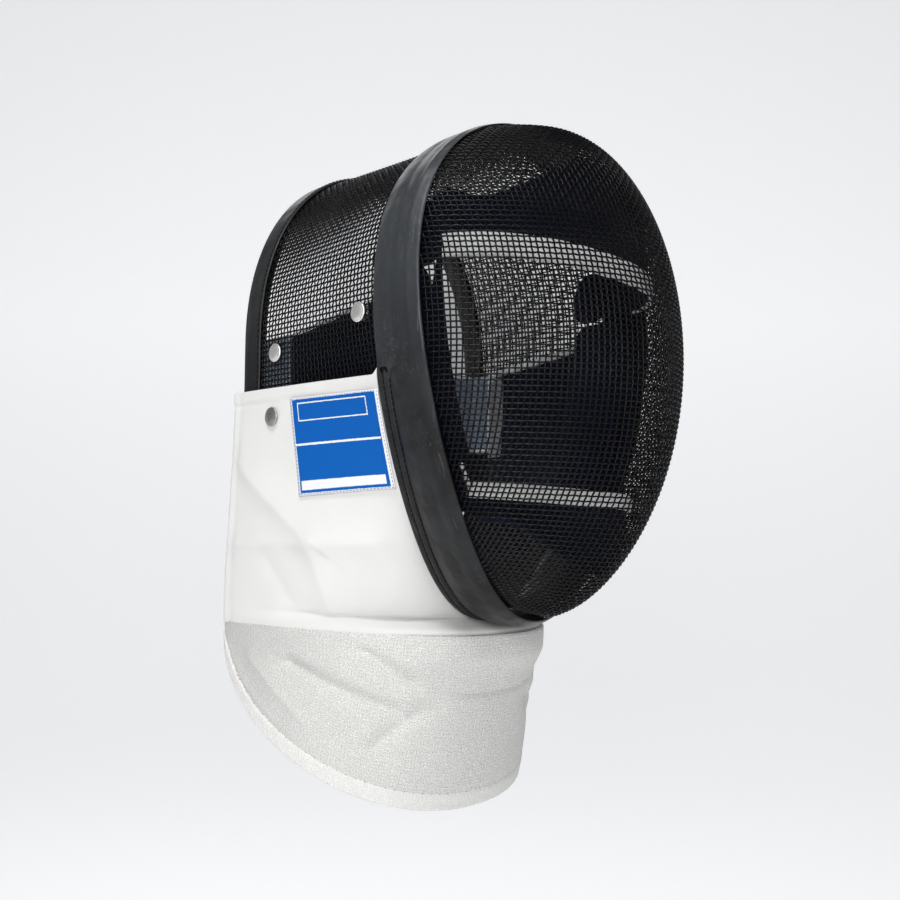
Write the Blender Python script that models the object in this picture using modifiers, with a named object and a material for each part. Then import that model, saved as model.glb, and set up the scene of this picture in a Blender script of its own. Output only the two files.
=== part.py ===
"""A fencing mask, held upright as a head wears it.

A domed face of woven wire and a barrel of the same wire behind it meet under a padded trim. A
channel binds the barrel's rear edge, a padded bib hangs below with a metallic cloth at its foot,
and a padded liner with white edging frames the face opening inside.

Frame: metres, +Z up. The face looks along -Y and the wearer's left is +X. The origin is the head
seat, the middle of the inside of the crown, where the mask bears on the head.
"""

import math

import bmesh
import bpy
from mathutils import Vector

# ---- Driving dimensions, in metres -------------------------------------------------------------

GAP = 0.0003  # between touching pieces
WIRE_WALL = 0.0020  # two crossed 1 mm wires

# The rim is the outline where the dome meets its trim, an egg seen from the front.
RIM_MID_Z = -0.1455
RIM_HEIGHT = 0.2986
RIM_WIDTH_CURVE = (0.1037, 0.0318, 0.0033, -0.0057)  # half-width: constant, linear, square, cube
RIM_Y_CURVE = (-0.0700, -0.0018, 0.0069)  # fore-and-aft place: constant, linear, square

DOME_DEPTH_CURVE = (0.0832, -0.0058, 0.0010, 0.0083)
DOME_SECTION_POWER = 0.85  # of a cosine across: flat cheeks and a rounded middle
COLLAR_LENGTH = 0.0067  # the dome's edge, turned straight back under the trim

SIDE_INSET = 0.0023  # the barrel's wire lies this far inside the rim's outline
SIDE_START = 0.0080  # behind the rim
SIDE_BLEND_Y = -0.0270  # behind this the barrel turns from the rim's egg to a plain arch
SIDE_END_Z = -0.1810
ARCH_HALF_WIDTH = 0.1044
ARCH_CROWN_Z = 0.0040
ARCH_SPRING_Z = -0.1238
ARCH_POWER = 2.14
REAR_Y = 0.0920
SIDE_END_Y = 0.0885

TRIM_REAR_CURVE = (-0.0330, -0.0090, 0.0050)  # rear edge's place: constant, linear, square
TRIM_INNER = -0.0018
TRIM_CROWN_FLATTER = 0.45  # how much less the band swells over the crown
CHANNEL_WIDTH = 0.0166
CHANNEL_WALL = 0.0013

BIB_WALL = 0.0030
BIB_TOP_Z = -0.1555
BIB_SEAM_REAR_Z = -0.3000
BIB_SEAM_FRONT_Z = -0.3060
BIB_SEAM_BAND = 0.0040
BIB_HEM_REAR_Z = -0.3090
BIB_HEM_FRONT_Z = -0.4130
BIB_HEM_POWER = 1.8  # 2 would be a quarter ellipse from the rear to the front
BIB_HALF_WIDTHS = (0.1108, 0.1090)  # at the top and at the hem
BIB_REAR_YS = (0.0945, 0.1035)  # at the top and at the seam
BIB_PLAN_POWERS = (1.0, 0.42)  # of the plan's side curve at the top and at the seam
BIB_FRONT = (  # z, y of the bib's front line below the chin
    (-0.3020, -0.0350),
    (-0.3200, -0.0345),
    (-0.3380, -0.0270),
    (-0.3650, -0.0205),
    (-0.3900, -0.0150),
    (-0.4130, -0.0090),
)
BIB_RIM_OUTSET = 0.0013  # how far the bib's face stands out from the rim's outline at the trim
CHIN_DROP_Z = -0.2962  # the rim outline's lowest point with that outset
CHIN_SLACK = 0.0016  # behind the trim's lowest point, where the bib turns forward under it
BIB_AXIS_Y = 0.0600  # folds press in towards the upright line through here

LABEL_TOP_Z = -0.1640
LABEL_BOTTOM_Z = -0.2190
LABEL_REAR_YS = (0.0370, 0.0295)  # at its top and at its bottom
LABEL_LENGTH = 0.0735
LABEL_TRIM_GAP = 0.0008
LABEL_THICKNESS = 0.0007
LABEL_RISE = 0.0006  # off the bib, whose flat facets lie a little inside its true curve

FACE_TOP_Z = -0.0960  # the lower edge of the forehead pad
FACE_BOTTOM_Z = -0.2170  # the upper edge of the chin pad
PAD_WALL = 0.0100
PAD_CLEAR = 0.0015
PAD_TURN_Y = -0.0500  # in front of this the liner turns across the face
PAD_PLAN_POWER = 2.3
FOREHEAD_PLAN = (0.0950, -0.1130, -0.0200, 0.0060)  # half-width, front y, rear y, spread
CHIN_PLAN = (0.0680, -0.1060, -0.0300, 0.0010)
CHEEK_WALL = 0.0080
CHEEK_FRONT_Y = -0.0635
CHEEK_STEP_Y = -0.0250  # behind this the pad's top steps down
CHEEK_STEP_RUN = 0.0160
CHEEK_REAR_Y = 0.0470
CHEEK_TOP_Z = FACE_TOP_Z - 0.0004
CHEEK_LOW_TOP_ZS = (-0.1250, -0.1330)  # at the step and at the rear
CHEEK_BOTTOM_Z = -0.2160
CHEEK_CLEAR = 0.0022  # leaves room for the rivets' inner discs
PAD_TAPER = 0.2  # how fast a cheek pad leans in below the barrel's lower end
EDGING_WALL = 0.0024
EDGING_GAP = 0.0005
EDGING_WIDTH = 0.0118
EDGING_SIDE_WIDTH = 0.0060
EDGING_SIDE_INSET = 0.0045

STRAP_TOP_Z = -0.1225
STRAP_BOTTOM_Z = -0.1815
STRAP_WALL = 0.0020
STRAP_FRONT_Y = 0.0495
STRAP_REAR_Y = 0.0725
STRAP_CORNER = 0.0060
STRAP_INSET = 0.0026  # of its outer face from the wire's

RIVET_RADIUS = 0.0058
RIVET_SHANK = 0.0020
RIVET_RISE = 0.0017
RIVET_DISC = 0.0008
RIVET_SLACK = 0.0009  # the walls are slightly curved under the flat head and disc
RIVET_HOLE = 0.0024

# Pressed-in folds of the bib, each along a line between two points given by height and by the
# share of the way from the rear edge (0) to the front (1). The white bib's are on both sides.
FOLD_FADE = 0.0080  # over this height beside the seam
FOLD_COLUMNS = ("start_share", "start_z", "end_share", "end_z", "depth", "width")
UPPER_FOLDS = (
    (0.05, -0.192, 0.38, -0.245, 0.0040, 0.0085),
    (0.02, -0.2545, 0.72, -0.2545, 0.0045, 0.0080),
    (0.30, -0.252, 0.42, -0.298, 0.0032, 0.0080),
)
LOWER_FOLDS = (
    (0.42, -0.312, 0.60, -0.330, 0.0034, 0.0065),
    (0.24, -0.318, 0.56, -0.347, 0.0038, 0.0070),
    (0.56, -0.352, 0.50, -0.372, 0.0026, 0.0070),
)

SIDES = {"right": -1.0, "left": 1.0}  # the wearer's, as signs of x
RIVETS = (  # name, y, z, the walls that its shank passes through
    ("front_rivet", -0.0185, -0.1195, ("side_mesh",)),
    ("rear_rivet", 0.0600, -0.1330, ("side_mesh", "rear_strap")),
    ("bib_snap", 0.0560, -0.1735, ("bib_upper", "side_mesh", "rear_strap")),
)

MATERIALS = {  # name: base colour, roughness, metallic
    "black_wire": ((0.015, 0.015, 0.016), 0.38, 0.6),
    "black_vinyl": ((0.030, 0.031, 0.034), 0.45, 0.0),
    "white_cloth": ((0.80, 0.79, 0.75), 0.85, 0.0),
    "silver_cloth": ((0.62, 0.61, 0.60), 0.48, 0.5),
    "blue_label": ((0.01, 0.10, 0.50), 0.55, 0.0),
    "navy_cloth": ((0.012, 0.016, 0.040), 0.85, 0.0),
    "grey_elastic": ((0.30, 0.34, 0.42), 0.75, 0.0),
    "nickel": ((0.60, 0.60, 0.58), 0.32, 1.0),
}

parts = bpy.data.collections.new("fencing_mask")
cutters = bpy.data.collections.new("cutters")


# ---- Shapes of the rim, the dome, the barrel and the bib ----------------------------------------


def curve(values, at):
    """A polynomial with these coefficients, the constant first."""
    return sum(value * at**power for power, value in enumerate(values))


def clamp(value, low=0.0, high=1.0):
    return max(low, min(high, value))


def ease(value):
    value = clamp(value)
    return value * value * (3 - 2 * value)


def mix(a, b, share):
    return a + (b - a) * share


def height_share(z):
    """-1 at the rim's chin and 1 at its crown."""
    return clamp(2 * (z - RIM_MID_Z) / RIM_HEIGHT, -1.0, 1.0)


def rim_outline(angle, outset=0.0):
    """(x, z) on the rim's outline: angle 0 is the wearer's left, a quarter turn is the crown."""

    def bare(at):
        height = math.sin(at)
        return Vector((math.cos(at) * curve(RIM_WIDTH_CURVE, height), height * RIM_HEIGHT / 2))

    step = 0.001
    along = bare(angle + step) - bare(angle - step)
    outward = Vector((along.y, -along.x)).normalized()
    point = bare(angle) + outward * outset
    return point.x, point.y + RIM_MID_Z


def rim_half_width(z, outset=0.0):
    """The outline's half-width at a height, 0 beyond its ends."""
    low, high = -math.pi / 2, math.pi / 2
    if z <= rim_outline(low, outset)[1] or z >= rim_outline(high, outset)[1]:
        return 0.0
    for _ in range(40):
        middle = (low + high) / 2
        if rim_outline(middle, outset)[1] < z:
            low = middle
        else:
            high = middle
    return rim_outline(low, outset)[0]


def rim_y(z):
    return curve(RIM_Y_CURVE, height_share(z))


def trim_rear_y(z):
    return curve(TRIM_REAR_CURVE, height_share(z))


def dome_y(x, z):
    """The dome's outer face."""
    share = height_share(z)
    upright = math.sqrt(max(1 - share * share, 1e-9))
    half_width = upright * curve(RIM_WIDTH_CURVE, share)
    turn = clamp(abs(x) / half_width) * math.pi / 2
    depth = upright * curve(DOME_DEPTH_CURVE, share)
    return rim_y(z) - depth * max(math.cos(turn), 1e-6) ** DOME_SECTION_POWER


def evenly(points, count):
    """The polyline's points respaced at equal lengths."""
    reach = [0.0]
    for a, b in zip(points, points[1:]):
        reach.append(reach[-1] + (b - a).length)
    found = []
    at = 0
    for k in range(count):
        goal = reach[-1] * k / (count - 1)
        while at < len(points) - 2 and reach[at + 1] < goal:
            at += 1
        share = (goal - reach[at]) / max(reach[at + 1] - reach[at], 1e-12)
        found.append(points[at].lerp(points[at + 1], clamp(share)))
    return found


def front_profile(count):
    """Half of the barrel's outline behind the rim, from the crown down the wearer's left."""
    fine = 240
    points = []
    for k in range(fine + 1):
        x, z = rim_outline(math.pi / 2 - math.pi * k / fine, -SIDE_INSET)
        if z < SIDE_END_Z:
            break
        points.append(Vector((x, z)))
    points.append(Vector((rim_half_width(SIDE_END_Z, -SIDE_INSET), SIDE_END_Z)))
    return evenly(points, count)


def arch_profile(count):
    """Half of the barrel's outline at its rear edge, from the crown down the wearer's left."""
    fine = 160
    rise = ARCH_CROWN_Z - ARCH_SPRING_Z
    points = []
    for k in range(fine + 1):
        angle = math.pi / 2 * (1 - k / fine)
        x = ARCH_HALF_WIDTH * clamp(math.cos(angle)) ** (2 / ARCH_POWER)
        z = ARCH_SPRING_Z + rise * clamp(math.sin(angle)) ** (2 / ARCH_POWER)
        points.append(Vector((x, z)))
    points.append(Vector((ARCH_HALF_WIDTH, SIDE_END_Z)))
    return evenly(points, count)


def side_point(front, rear, y):
    """A point of the barrel's outer face at a depth, from its matching profile points."""
    share = ease((y - SIDE_BLEND_Y) / (REAR_Y - CHANNEL_WIDTH - SIDE_BLEND_Y))
    flat = front.lerp(rear, share)
    return Vector((flat.x, y, flat.y))


def barrel_half_width(y, z):
    """The barrel's outer face, as a half-width at a depth and a height."""
    points = [side_point(front, rear, y) for front, rear in zip(FINE_FRONT, FINE_ARCH)]
    for upper, lower in zip(points, points[1:]):
        if lower.z <= z <= upper.z:
            return mix(upper.x, lower.x, (upper.z - z) / max(upper.z - lower.z, 1e-9))
    return points[-1].x


FINE_FRONT, FINE_ARCH = front_profile(80), arch_profile(80)


def seam_z(share):
    """The seam's height at a share of the way from the bib's rear edge to its front."""
    return mix(BIB_SEAM_REAR_Z, BIB_SEAM_FRONT_Z, share * share)


def bib_plan(share, z):
    """(half-width, y) of the bib's outer face at a share of the way forward and a height."""
    front_z = z + BIB_SEAM_FRONT_Z - seam_z(share)  # keeps the wall upright all along the seam
    front_x = rim_half_width(front_z, BIB_RIM_OUTSET)
    drop = clamp((z - BIB_TOP_Z) / (BIB_HEM_FRONT_Z - BIB_TOP_Z))
    side_x = mix(*BIB_HALF_WIDTHS, drop)
    power = mix(*BIB_PLAN_POWERS, ease((BIB_TOP_Z - z) / (BIB_TOP_Z - BIB_SEAM_REAR_Z)))
    half_width = front_x + (side_x - front_x) * max(1 - share * share, 0.0) ** power
    return half_width, mix(bib_rear_y(z), bib_front_y(front_z), share)


def bib_share(y, z):
    """How far forward along the bib's side a depth is, at a height."""
    low, high = 0.0, 1.0
    for _ in range(30):
        middle = (low + high) / 2
        if bib_plan(middle, z)[1] > y:
            low = middle
        else:
            high = middle
    return low


def bib_rear_y(z):
    return mix(*BIB_REAR_YS, ease((BIB_TOP_Z - z) / (BIB_TOP_Z - BIB_SEAM_REAR_Z)))


def bib_front_y(z):
    """The bib's front edge: the trim's rear edge, then forward under it and back to the hem."""
    if z > CHIN_DROP_Z:
        return trim_rear_y(z) + GAP + CHIN_SLACK * clamp(-height_share(z)) ** 8
    rows = ((CHIN_DROP_Z, trim_rear_y(CHIN_DROP_Z) + GAP + CHIN_SLACK), *BIB_FRONT)
    for (upper_z, upper_y), (lower_z, lower_y) in zip(rows, rows[1:]):
        if z >= lower_z:
            return mix(upper_y, lower_y, (upper_z - z) / (upper_z - lower_z))
    return rows[-1][1]


def fold_depth(share, z, folds):
    """How far the folds press the bib in, at a share of its depth and a height."""
    pressed = 0.0
    run = bib_rear_y(z) - bib_front_y(z)
    for row in folds:
        fold = dict(zip(FOLD_COLUMNS, row))
        start = Vector((fold["start_share"] * run, fold["start_z"]))
        end = Vector((fold["end_share"] * run, fold["end_z"]))
        here = Vector((share * run, z))
        along = end - start
        reach = clamp((here - start).dot(along) / along.length_squared)
        away = (here - start - along * reach).length
        pressed = max(pressed, fold["depth"] * math.exp(-((away / fold["width"]) ** 2)))
    return pressed * ease((abs(z - seam_z(share)) - BIB_SEAM_BAND) / FOLD_FADE)


def bib_point(turn, z, side, folds=()):
    """A point of the bib's outer face: turn 0 at the rear edge, a quarter turn at the front."""
    share = math.sin(turn)
    half_width, y = bib_plan(share, z)
    point = Vector((side * half_width, y, z))
    if folds:
        inward = Vector((-point.x, BIB_AXIS_Y - y, 0.0)).normalized()
        point += inward * fold_depth(share, z, folds)
    return point


# ---- Making objects ---------------------------------------------------------------------------


def start_scene():
    for obj in list(bpy.data.objects):
        bpy.data.objects.remove(obj)
    bpy.context.scene.collection.children.link(parts)
    bpy.context.scene.collection.children.link(cutters)


def material(name):
    found = bpy.data.materials.get(name)
    if found:
        return found
    colour, roughness, metallic = MATERIALS[name]
    made = bpy.data.materials.new(name)
    made.use_nodes = True
    shader = made.node_tree.nodes["Principled BSDF"]
    shader.inputs["Base Color"].default_value = (*colour, 1.0)
    shader.inputs["Roughness"].default_value = roughness
    shader.inputs["Metallic"].default_value = metallic
    made.diffuse_color = (*colour, 1.0)
    return made


def finish(name, bm, finish_name, smooth=True):
    """A new object of the part from a bmesh, which it frees."""
    mesh = bpy.data.meshes.new(name)
    bm.to_mesh(mesh)
    bm.free()
    mesh.materials.append(material(finish_name))
    if smooth:
        mesh.shade_smooth()
        mesh.set_sharp_from_angle(angle=math.radians(40))
    obj = bpy.data.objects.new(name, mesh)
    parts.objects.link(obj)
    return obj


def sheet(rows, around=False):
    """A bmesh of quads between rows of points, the rows joined end to end where around is set."""
    bm = bmesh.new()
    lines = [[bm.verts.new(point) for point in row] for row in rows]
    for upper, lower in zip(lines, lines[1:]):
        columns = len(upper)
        for k in range(columns if around else columns - 1):
            after = (k + 1) % columns
            bm.faces.new((upper[k], upper[after], lower[after], lower[k]))
    return bm


def face_away(bm, centre):
    """Turns an open sheet's faces away from a point inside it."""
    bmesh.ops.recalc_face_normals(bm, faces=bm.faces)
    outward = sum(face.normal.dot(face.calc_center_median() - centre) for face in bm.faces)
    if outward < 0:
        bmesh.ops.reverse_faces(bm, faces=bm.faces)


def thicken(obj, wall, even=True):
    """Gives an open sheet its wall, on its inner side."""
    solidify = obj.modifiers.new("wall", "SOLIDIFY")
    solidify.thickness = wall
    solidify.offset = -1
    solidify.use_even_offset = even
    return obj


def loft(sections, closed_path=False):
    """A closed bmesh through sections of as many points each, capped unless the path is closed."""
    ends = sections + sections[:1] if closed_path else sections
    bm = sheet(ends, around=True)
    if closed_path:
        bmesh.ops.remove_doubles(bm, verts=bm.verts, dist=1e-7)
    else:
        bm.verts.ensure_lookup_table()
        count = len(sections[0])
        bm.faces.new(bm.verts[:count])
        bm.faces.new(bm.verts[-count:])
    bmesh.ops.triangulate(bm, faces=[face for face in bm.faces if len(face.verts) > 4])
    bmesh.ops.recalc_face_normals(bm, faces=bm.faces)
    return bm


# ---- The wire ---------------------------------------------------------------------------------


def front_mesh():
    """The domed face, a shell with rings round its middle and a short collar under the trim."""
    rings, segments = 11, 44
    rows = []
    for ring in range(1, rings + 1):
        reach = math.sin(math.pi / 2 * ring / rings)
        row = []
        for k in range(segments):
            x, z = rim_outline(2 * math.pi * k / segments)
            x, z = x * reach, RIM_MID_Z + (z - RIM_MID_Z) * reach
            row.append((x, dome_y(x, z), z))
        rows.append(row)
    rows.append([(x, y + COLLAR_LENGTH, z) for x, y, z in rows[-1]])
    bm = sheet(rows, around=True)
    first_ring = list(bm.verts)[:segments]
    tip = bm.verts.new((0.0, dome_y(0.0, RIM_MID_Z), RIM_MID_Z))
    for k in range(segments):
        bm.faces.new((tip, first_ring[k], first_ring[(k + 1) % segments]))
    face_away(bm, Vector((0.0, RIM_Y_CURVE[0], RIM_MID_Z)))
    return thicken(finish("front_mesh", bm, "black_wire"), WIRE_WALL)


def side_mesh():
    """The barrel over the crown and down both sides."""
    count = 19
    fronts, rears = front_profile(count), arch_profile(count)
    steps = (0.0, 0.16, 0.28, 0.40, 0.52, 0.64, 0.76, 0.88, 1.0)
    rows = []
    for step in steps:
        half = []
        for front, rear in zip(fronts, rears):
            y = mix(rim_y(front.y) + SIDE_START, SIDE_END_Y, step)
            half.append(side_point(front, rear, y))
        rows.append([Vector((-p.x, p.y, p.z)) for p in half[:0:-1]] + half)
    bm = sheet(rows)
    face_away(bm, Vector((0.0, 0.0, RIM_MID_Z)))
    return thicken(finish("side_mesh", bm, "black_wire"), WIRE_WALL)


# ---- The trims --------------------------------------------------------------------------------


def rim_trim():
    """The padded band over the joint of the dome and the barrel, all the way round."""
    segments = 56
    sections = []
    for k in range(segments):
        angle = 2 * math.pi * k / segments
        _, z = rim_outline(angle)
        front, length = rim_y(z), trim_rear_y(z) - rim_y(z)
        step = SIDE_START - 2 * GAP  # over the dome's collar in front and the barrel behind
        swell = 1 - TRIM_CROWN_FLATTER * ease((math.sin(angle) - 0.45) / 0.55)
        profile = (  # how far behind the rim, how far out from its outline
            (-0.0006, GAP),
            (-0.0008, 0.0016),
            (0.0010, 0.0030 * swell),
            (0.30 * length, 0.0046 * swell),
            (0.52 * length, 0.0050 * swell),
            (0.86 * length, 0.0030 * swell),
            (length, 0.0019),
            (length, TRIM_INNER),
            (step, TRIM_INNER),
            (step - GAP, GAP),
        )
        section = []
        for back, out in profile:
            x, z = rim_outline(angle, out)
            section.append((x, front + back, z))
        sections.append(section)
    return finish("rim_trim", loft(sections, closed_path=True), "black_vinyl")


def rear_trim():
    """The channel that binds the barrel's rear edge, an arch over the crown."""
    count = 18
    half = arch_profile(count)
    points = [Vector((-p.x, p.y)) for p in half[:0:-1]] + half
    start = REAR_Y - CHANNEL_WIDTH
    slot = SIDE_END_Y + GAP
    inner = -WIRE_WALL - GAP
    round_in = 0.0008
    profile = (  # outward from the wire's outer face, y
        (GAP, start),
        (GAP + CHANNEL_WALL, start),
        (GAP + CHANNEL_WALL, REAR_Y - round_in),
        (GAP + CHANNEL_WALL - round_in, REAR_Y),
        (inner - CHANNEL_WALL + round_in, REAR_Y),
        (inner - CHANNEL_WALL, REAR_Y - round_in),
        (inner - CHANNEL_WALL, start),
        (inner, start),
        (inner, slot),
        (GAP, slot),
    )
    sections = []
    for k, point in enumerate(points):
        before, after = points[max(k - 1, 0)], points[min(k + 1, len(points) - 1)]
        along = (after - before).normalized()
        outward = Vector((-along.y, along.x))
        if k in (0, len(points) - 1):
            outward = Vector((math.copysign(1.0, point.x), 0.0))
        section = []
        for out, y in profile:
            moved = point + outward * out
            section.append((moved.x, y, moved.y))
        sections.append(section)
    return finish("rear_trim", loft(sections), "black_vinyl")


# ---- The bib ----------------------------------------------------------------------------------


def bib_upper():
    """The white padded cloth from the top hem to the seam, both sides and under the chin."""
    columns, rows_down = 14, 13
    start = math.asin(height_share(BIB_TOP_Z))
    rows = []
    for row in range(rows_down + 1):
        down = row / rows_down
        _, front_z = rim_outline(mix(start, -math.pi / 2, down), BIB_RIM_OUTSET)
        rear_z = mix(BIB_TOP_Z, BIB_SEAM_REAR_Z + BIB_SEAM_BAND, down)
        rows.append(bib_row(columns, rear_z, min(front_z, BIB_TOP_Z)))
    for above in (BIB_SEAM_BAND * 0.8, 0.0):
        rows.append(bib_row(columns, BIB_SEAM_REAR_Z + above / 2, BIB_SEAM_FRONT_Z + above))
    for row in rows[-3:]:
        row[-1].x = 0.0
    bm = sheet(rows)
    face_away(bm, Vector((0.0, BIB_AXIS_Y, RIM_MID_Z)))
    obj = finish("bib_upper", bm, "white_cloth")
    both = obj.modifiers.new("both sides", "MIRROR")
    both.merge_threshold = 1e-5
    return thicken(obj, BIB_WALL, even=False)


def bib_row(columns, rear_z, front_z):
    """A row of the white bib on the wearer's left, from its rear edge to the trim."""
    row = []
    for column in range(columns + 1):
        turn = math.pi / 2 * column / columns
        z = mix(rear_z, front_z, math.sin(turn) ** 2)
        row.append(bib_point(turn, z, 1.0, UPPER_FOLDS))
    return row


def bib_lower():
    """The metallic cloth below the seam, from rear corner to rear corner, to the curved hem."""
    columns = 28
    rows = []
    for down in (0.0, 0.04, 0.2, 0.4, 0.6, 0.8, 1.0):
        points = []
        for column in range(columns + 1):
            around = 2 * column / columns - 1
            turn = math.pi / 2 * (1 - abs(around))
            reach = (1 - abs(around) ** BIB_HEM_POWER) ** (1 / BIB_HEM_POWER)
            hem_z = mix(BIB_HEM_REAR_Z, BIB_HEM_FRONT_Z, reach)
            z = mix(seam_z(math.sin(turn)) - GAP, hem_z, down)
            points.append(bib_point(turn, z, math.copysign(1.0, around), LOWER_FOLDS))
        rows.append(points)
    bm = sheet(rows)
    face_away(bm, Vector((0.0, BIB_AXIS_Y, RIM_MID_Z)))
    return thicken(finish("bib_lower", bm, "silver_cloth"), BIB_WALL, even=False)


def label():
    """The woven label on the bib's right side, a thin patch that follows the cloth."""
    columns, rows_down = 8, 6
    rows = []
    for row in range(rows_down + 1):
        down = row / rows_down
        z = mix(LABEL_TOP_Z, LABEL_BOTTOM_Z, down)
        rear_y = mix(*LABEL_REAR_YS, down)
        front_y = max(rear_y - LABEL_LENGTH, bib_front_y(z) + LABEL_TRIM_GAP)
        points = []
        for column in range(columns + 1):
            y = mix(rear_y, front_y, column / columns)
            point = bib_point(math.asin(bib_share(y, z)), z, -1.0, UPPER_FOLDS)
            outward = Vector((point.x, y - BIB_AXIS_Y, 0.0)).normalized()
            points.append(point + outward * (LABEL_RISE + LABEL_THICKNESS))
        rows.append(points)
    bm = sheet(rows)
    face_away(bm, Vector((0.0, BIB_AXIS_Y, RIM_MID_Z)))
    return thicken(finish("label", bm, "blue_label"), LABEL_THICKNESS)


# ---- The liner and the strap ----------------------------------------------------------------


def inside_half_width(y, z):
    """The clear half-width inside the wire at a depth and a height, 0 where there is none."""
    outline = rim_half_width(z, -SIDE_INSET - WIRE_WALL - PAD_CLEAR)
    if y >= rim_y(z):
        return outline
    low, high = 0.0, outline
    for _ in range(30):
        middle = (low + high) / 2
        if dome_y(middle, z) + 1.6 * WIRE_WALL + PAD_CLEAR < y:
            low = middle
        else:
            high = middle
    return low


def limit_z(x, y, upward):
    """How far up or down a wall at this place can go inside the wire."""
    inside, outside = RIM_MID_Z, RIM_MID_Z + (0.16 if upward else -0.16)
    for _ in range(30):
        middle = (inside + outside) / 2
        if inside_half_width(y, middle) > abs(x):
            inside = middle
        else:
            outside = middle
    return inside


def liner_plan(share, half_width, front_y, rear_y, spread):
    """(x, y) along a pad's plan: share -1 at its right rear end, 0 at the front, 1 at its left."""
    side = math.copysign(1.0, share)
    share = abs(share)
    turn_share = 0.72
    if share <= turn_share:
        angle = math.pi / 2 * share / turn_share
        x = half_width * math.sin(angle) ** (2 / PAD_PLAN_POWER)
        y = PAD_TURN_Y - (PAD_TURN_Y - front_y) * max(math.cos(angle), 0.0) ** (2 / PAD_PLAN_POWER)
        return side * x, y
    along = (share - turn_share) / (1 - turn_share)
    return side * (half_width + spread * ease(along)), mix(PAD_TURN_Y, rear_y, along)


def cross_pad(name, columns, rows_up, plan, edge_z, upward):
    """A padded wall across the face, from its free edge to the inside of the wire."""
    half_width, front_y, rear_y, spread = plan
    rows = []
    for row in range(rows_up + 1):
        points = []
        for column in range(columns + 1):
            x, y = liner_plan(2 * column / columns - 1, half_width, front_y, rear_y, spread)
            end = limit_z(x, y, upward)
            points.append(Vector((x, y, mix(edge_z, end, row / rows_up))))
        rows.append(points)
    bm = sheet(rows)
    face_away(bm, Vector((0.0, 0.05, edge_z)))
    return thicken(finish(name, bm, "navy_cloth"), PAD_WALL)


def forehead_pad():
    return cross_pad("forehead_pad", 24, 3, FOREHEAD_PLAN, FACE_TOP_Z, True)


def chin_pad():
    return cross_pad("chin_pad", 20, 3, CHIN_PLAN, FACE_BOTTOM_Z, False)


def wall_inside(y, z):
    """The half-width of the outer face of a cheek pad, clear of the wire and of the rivets."""
    front = inside_half_width(y, z) - CHEEK_CLEAR
    below = max(SIDE_END_Z - z, 0.0)
    rear = barrel_half_width(y, z + below) - WIRE_WALL - CHEEK_CLEAR - PAD_TAPER * below
    return mix(front, rear, ease((y - trim_rear_y(z)) / 0.0400))


def cheek_pad(side_name):
    """A padded panel inside one side, tall beside the face and low behind it."""
    columns, rows_down = 9, 8
    rows = []
    for row in range(rows_down + 1):
        points = []
        for column in range(columns + 1):
            y = mix(CHEEK_FRONT_Y, CHEEK_REAR_Y, column / columns)
            behind = (y - CHEEK_STEP_Y) / (CHEEK_REAR_Y - CHEEK_STEP_Y)
            low = ease((y - CHEEK_STEP_Y) / CHEEK_STEP_RUN)
            top_z = mix(CHEEK_TOP_Z, mix(*CHEEK_LOW_TOP_ZS, behind), low)
            z = mix(top_z, CHEEK_BOTTOM_Z, row / rows_down)
            points.append(Vector((SIDES[side_name] * wall_inside(y, z), y, z)))
        rows.append(points)
    bm = sheet(rows)
    face_away(bm, Vector((0.0, 0.0, RIM_MID_Z)))
    return thicken(finish("cheek_pad_" + side_name, bm, "navy_cloth"), CHEEK_WALL)


def liner_edging():
    """The white band round the face opening, a loop along the pads' front edges."""
    stations = []
    across = 14
    band, narrow = EDGING_WIDTH / 2, EDGING_SIDE_WIDTH / 2
    for k in range(across + 1):
        x, y = liner_plan(mix(-0.64, 0.64, k / across), *FOREHEAD_PLAN)
        stations.append((Vector((x, y - GAP, FACE_TOP_Z + band)), Vector((0, 0, 1)), band))
    side_levels = [mix(FACE_TOP_Z, FACE_BOTTOM_Z, share) for share in (0.18, 0.38, 0.58, 0.76, 0.91)]
    for z in side_levels:
        x = inside_half_width(rim_y(z), z) - EDGING_SIDE_INSET
        stations.append((Vector((x, rim_y(z) - GAP, z)), Vector((1, 0, 0)), narrow))
    for k in range(across + 1):
        x, y = liner_plan(mix(0.62, -0.62, k / across), *CHIN_PLAN)
        stations.append((Vector((x, y - GAP, FACE_BOTTOM_Z - band)), Vector((0, 0, -1)), band))
    for z in reversed(side_levels):
        x = inside_half_width(rim_y(z), z) - EDGING_SIDE_INSET
        stations.append((Vector((-x, rim_y(z) - GAP, z)), Vector((-1, 0, 0)), narrow))
    sections = []
    count = len(stations)
    for k, (point, wide, half) in enumerate(stations):
        along = stations[(k + 1) % count][0] - stations[k - 1][0]
        forward = along.cross(wide).normalized()
        if forward.y > 0:
            forward = -forward
        inner, outer = EDGING_GAP, EDGING_GAP + EDGING_WALL
        section = []
        for across_share, out in ((-1, inner), (-1, outer), (1, outer), (1, inner)):
            section.append(point + wide * half * across_share + forward * out)
        sections.append(section)
    return finish("liner_edging", loft(sections, closed_path=True), "white_cloth")


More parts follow.
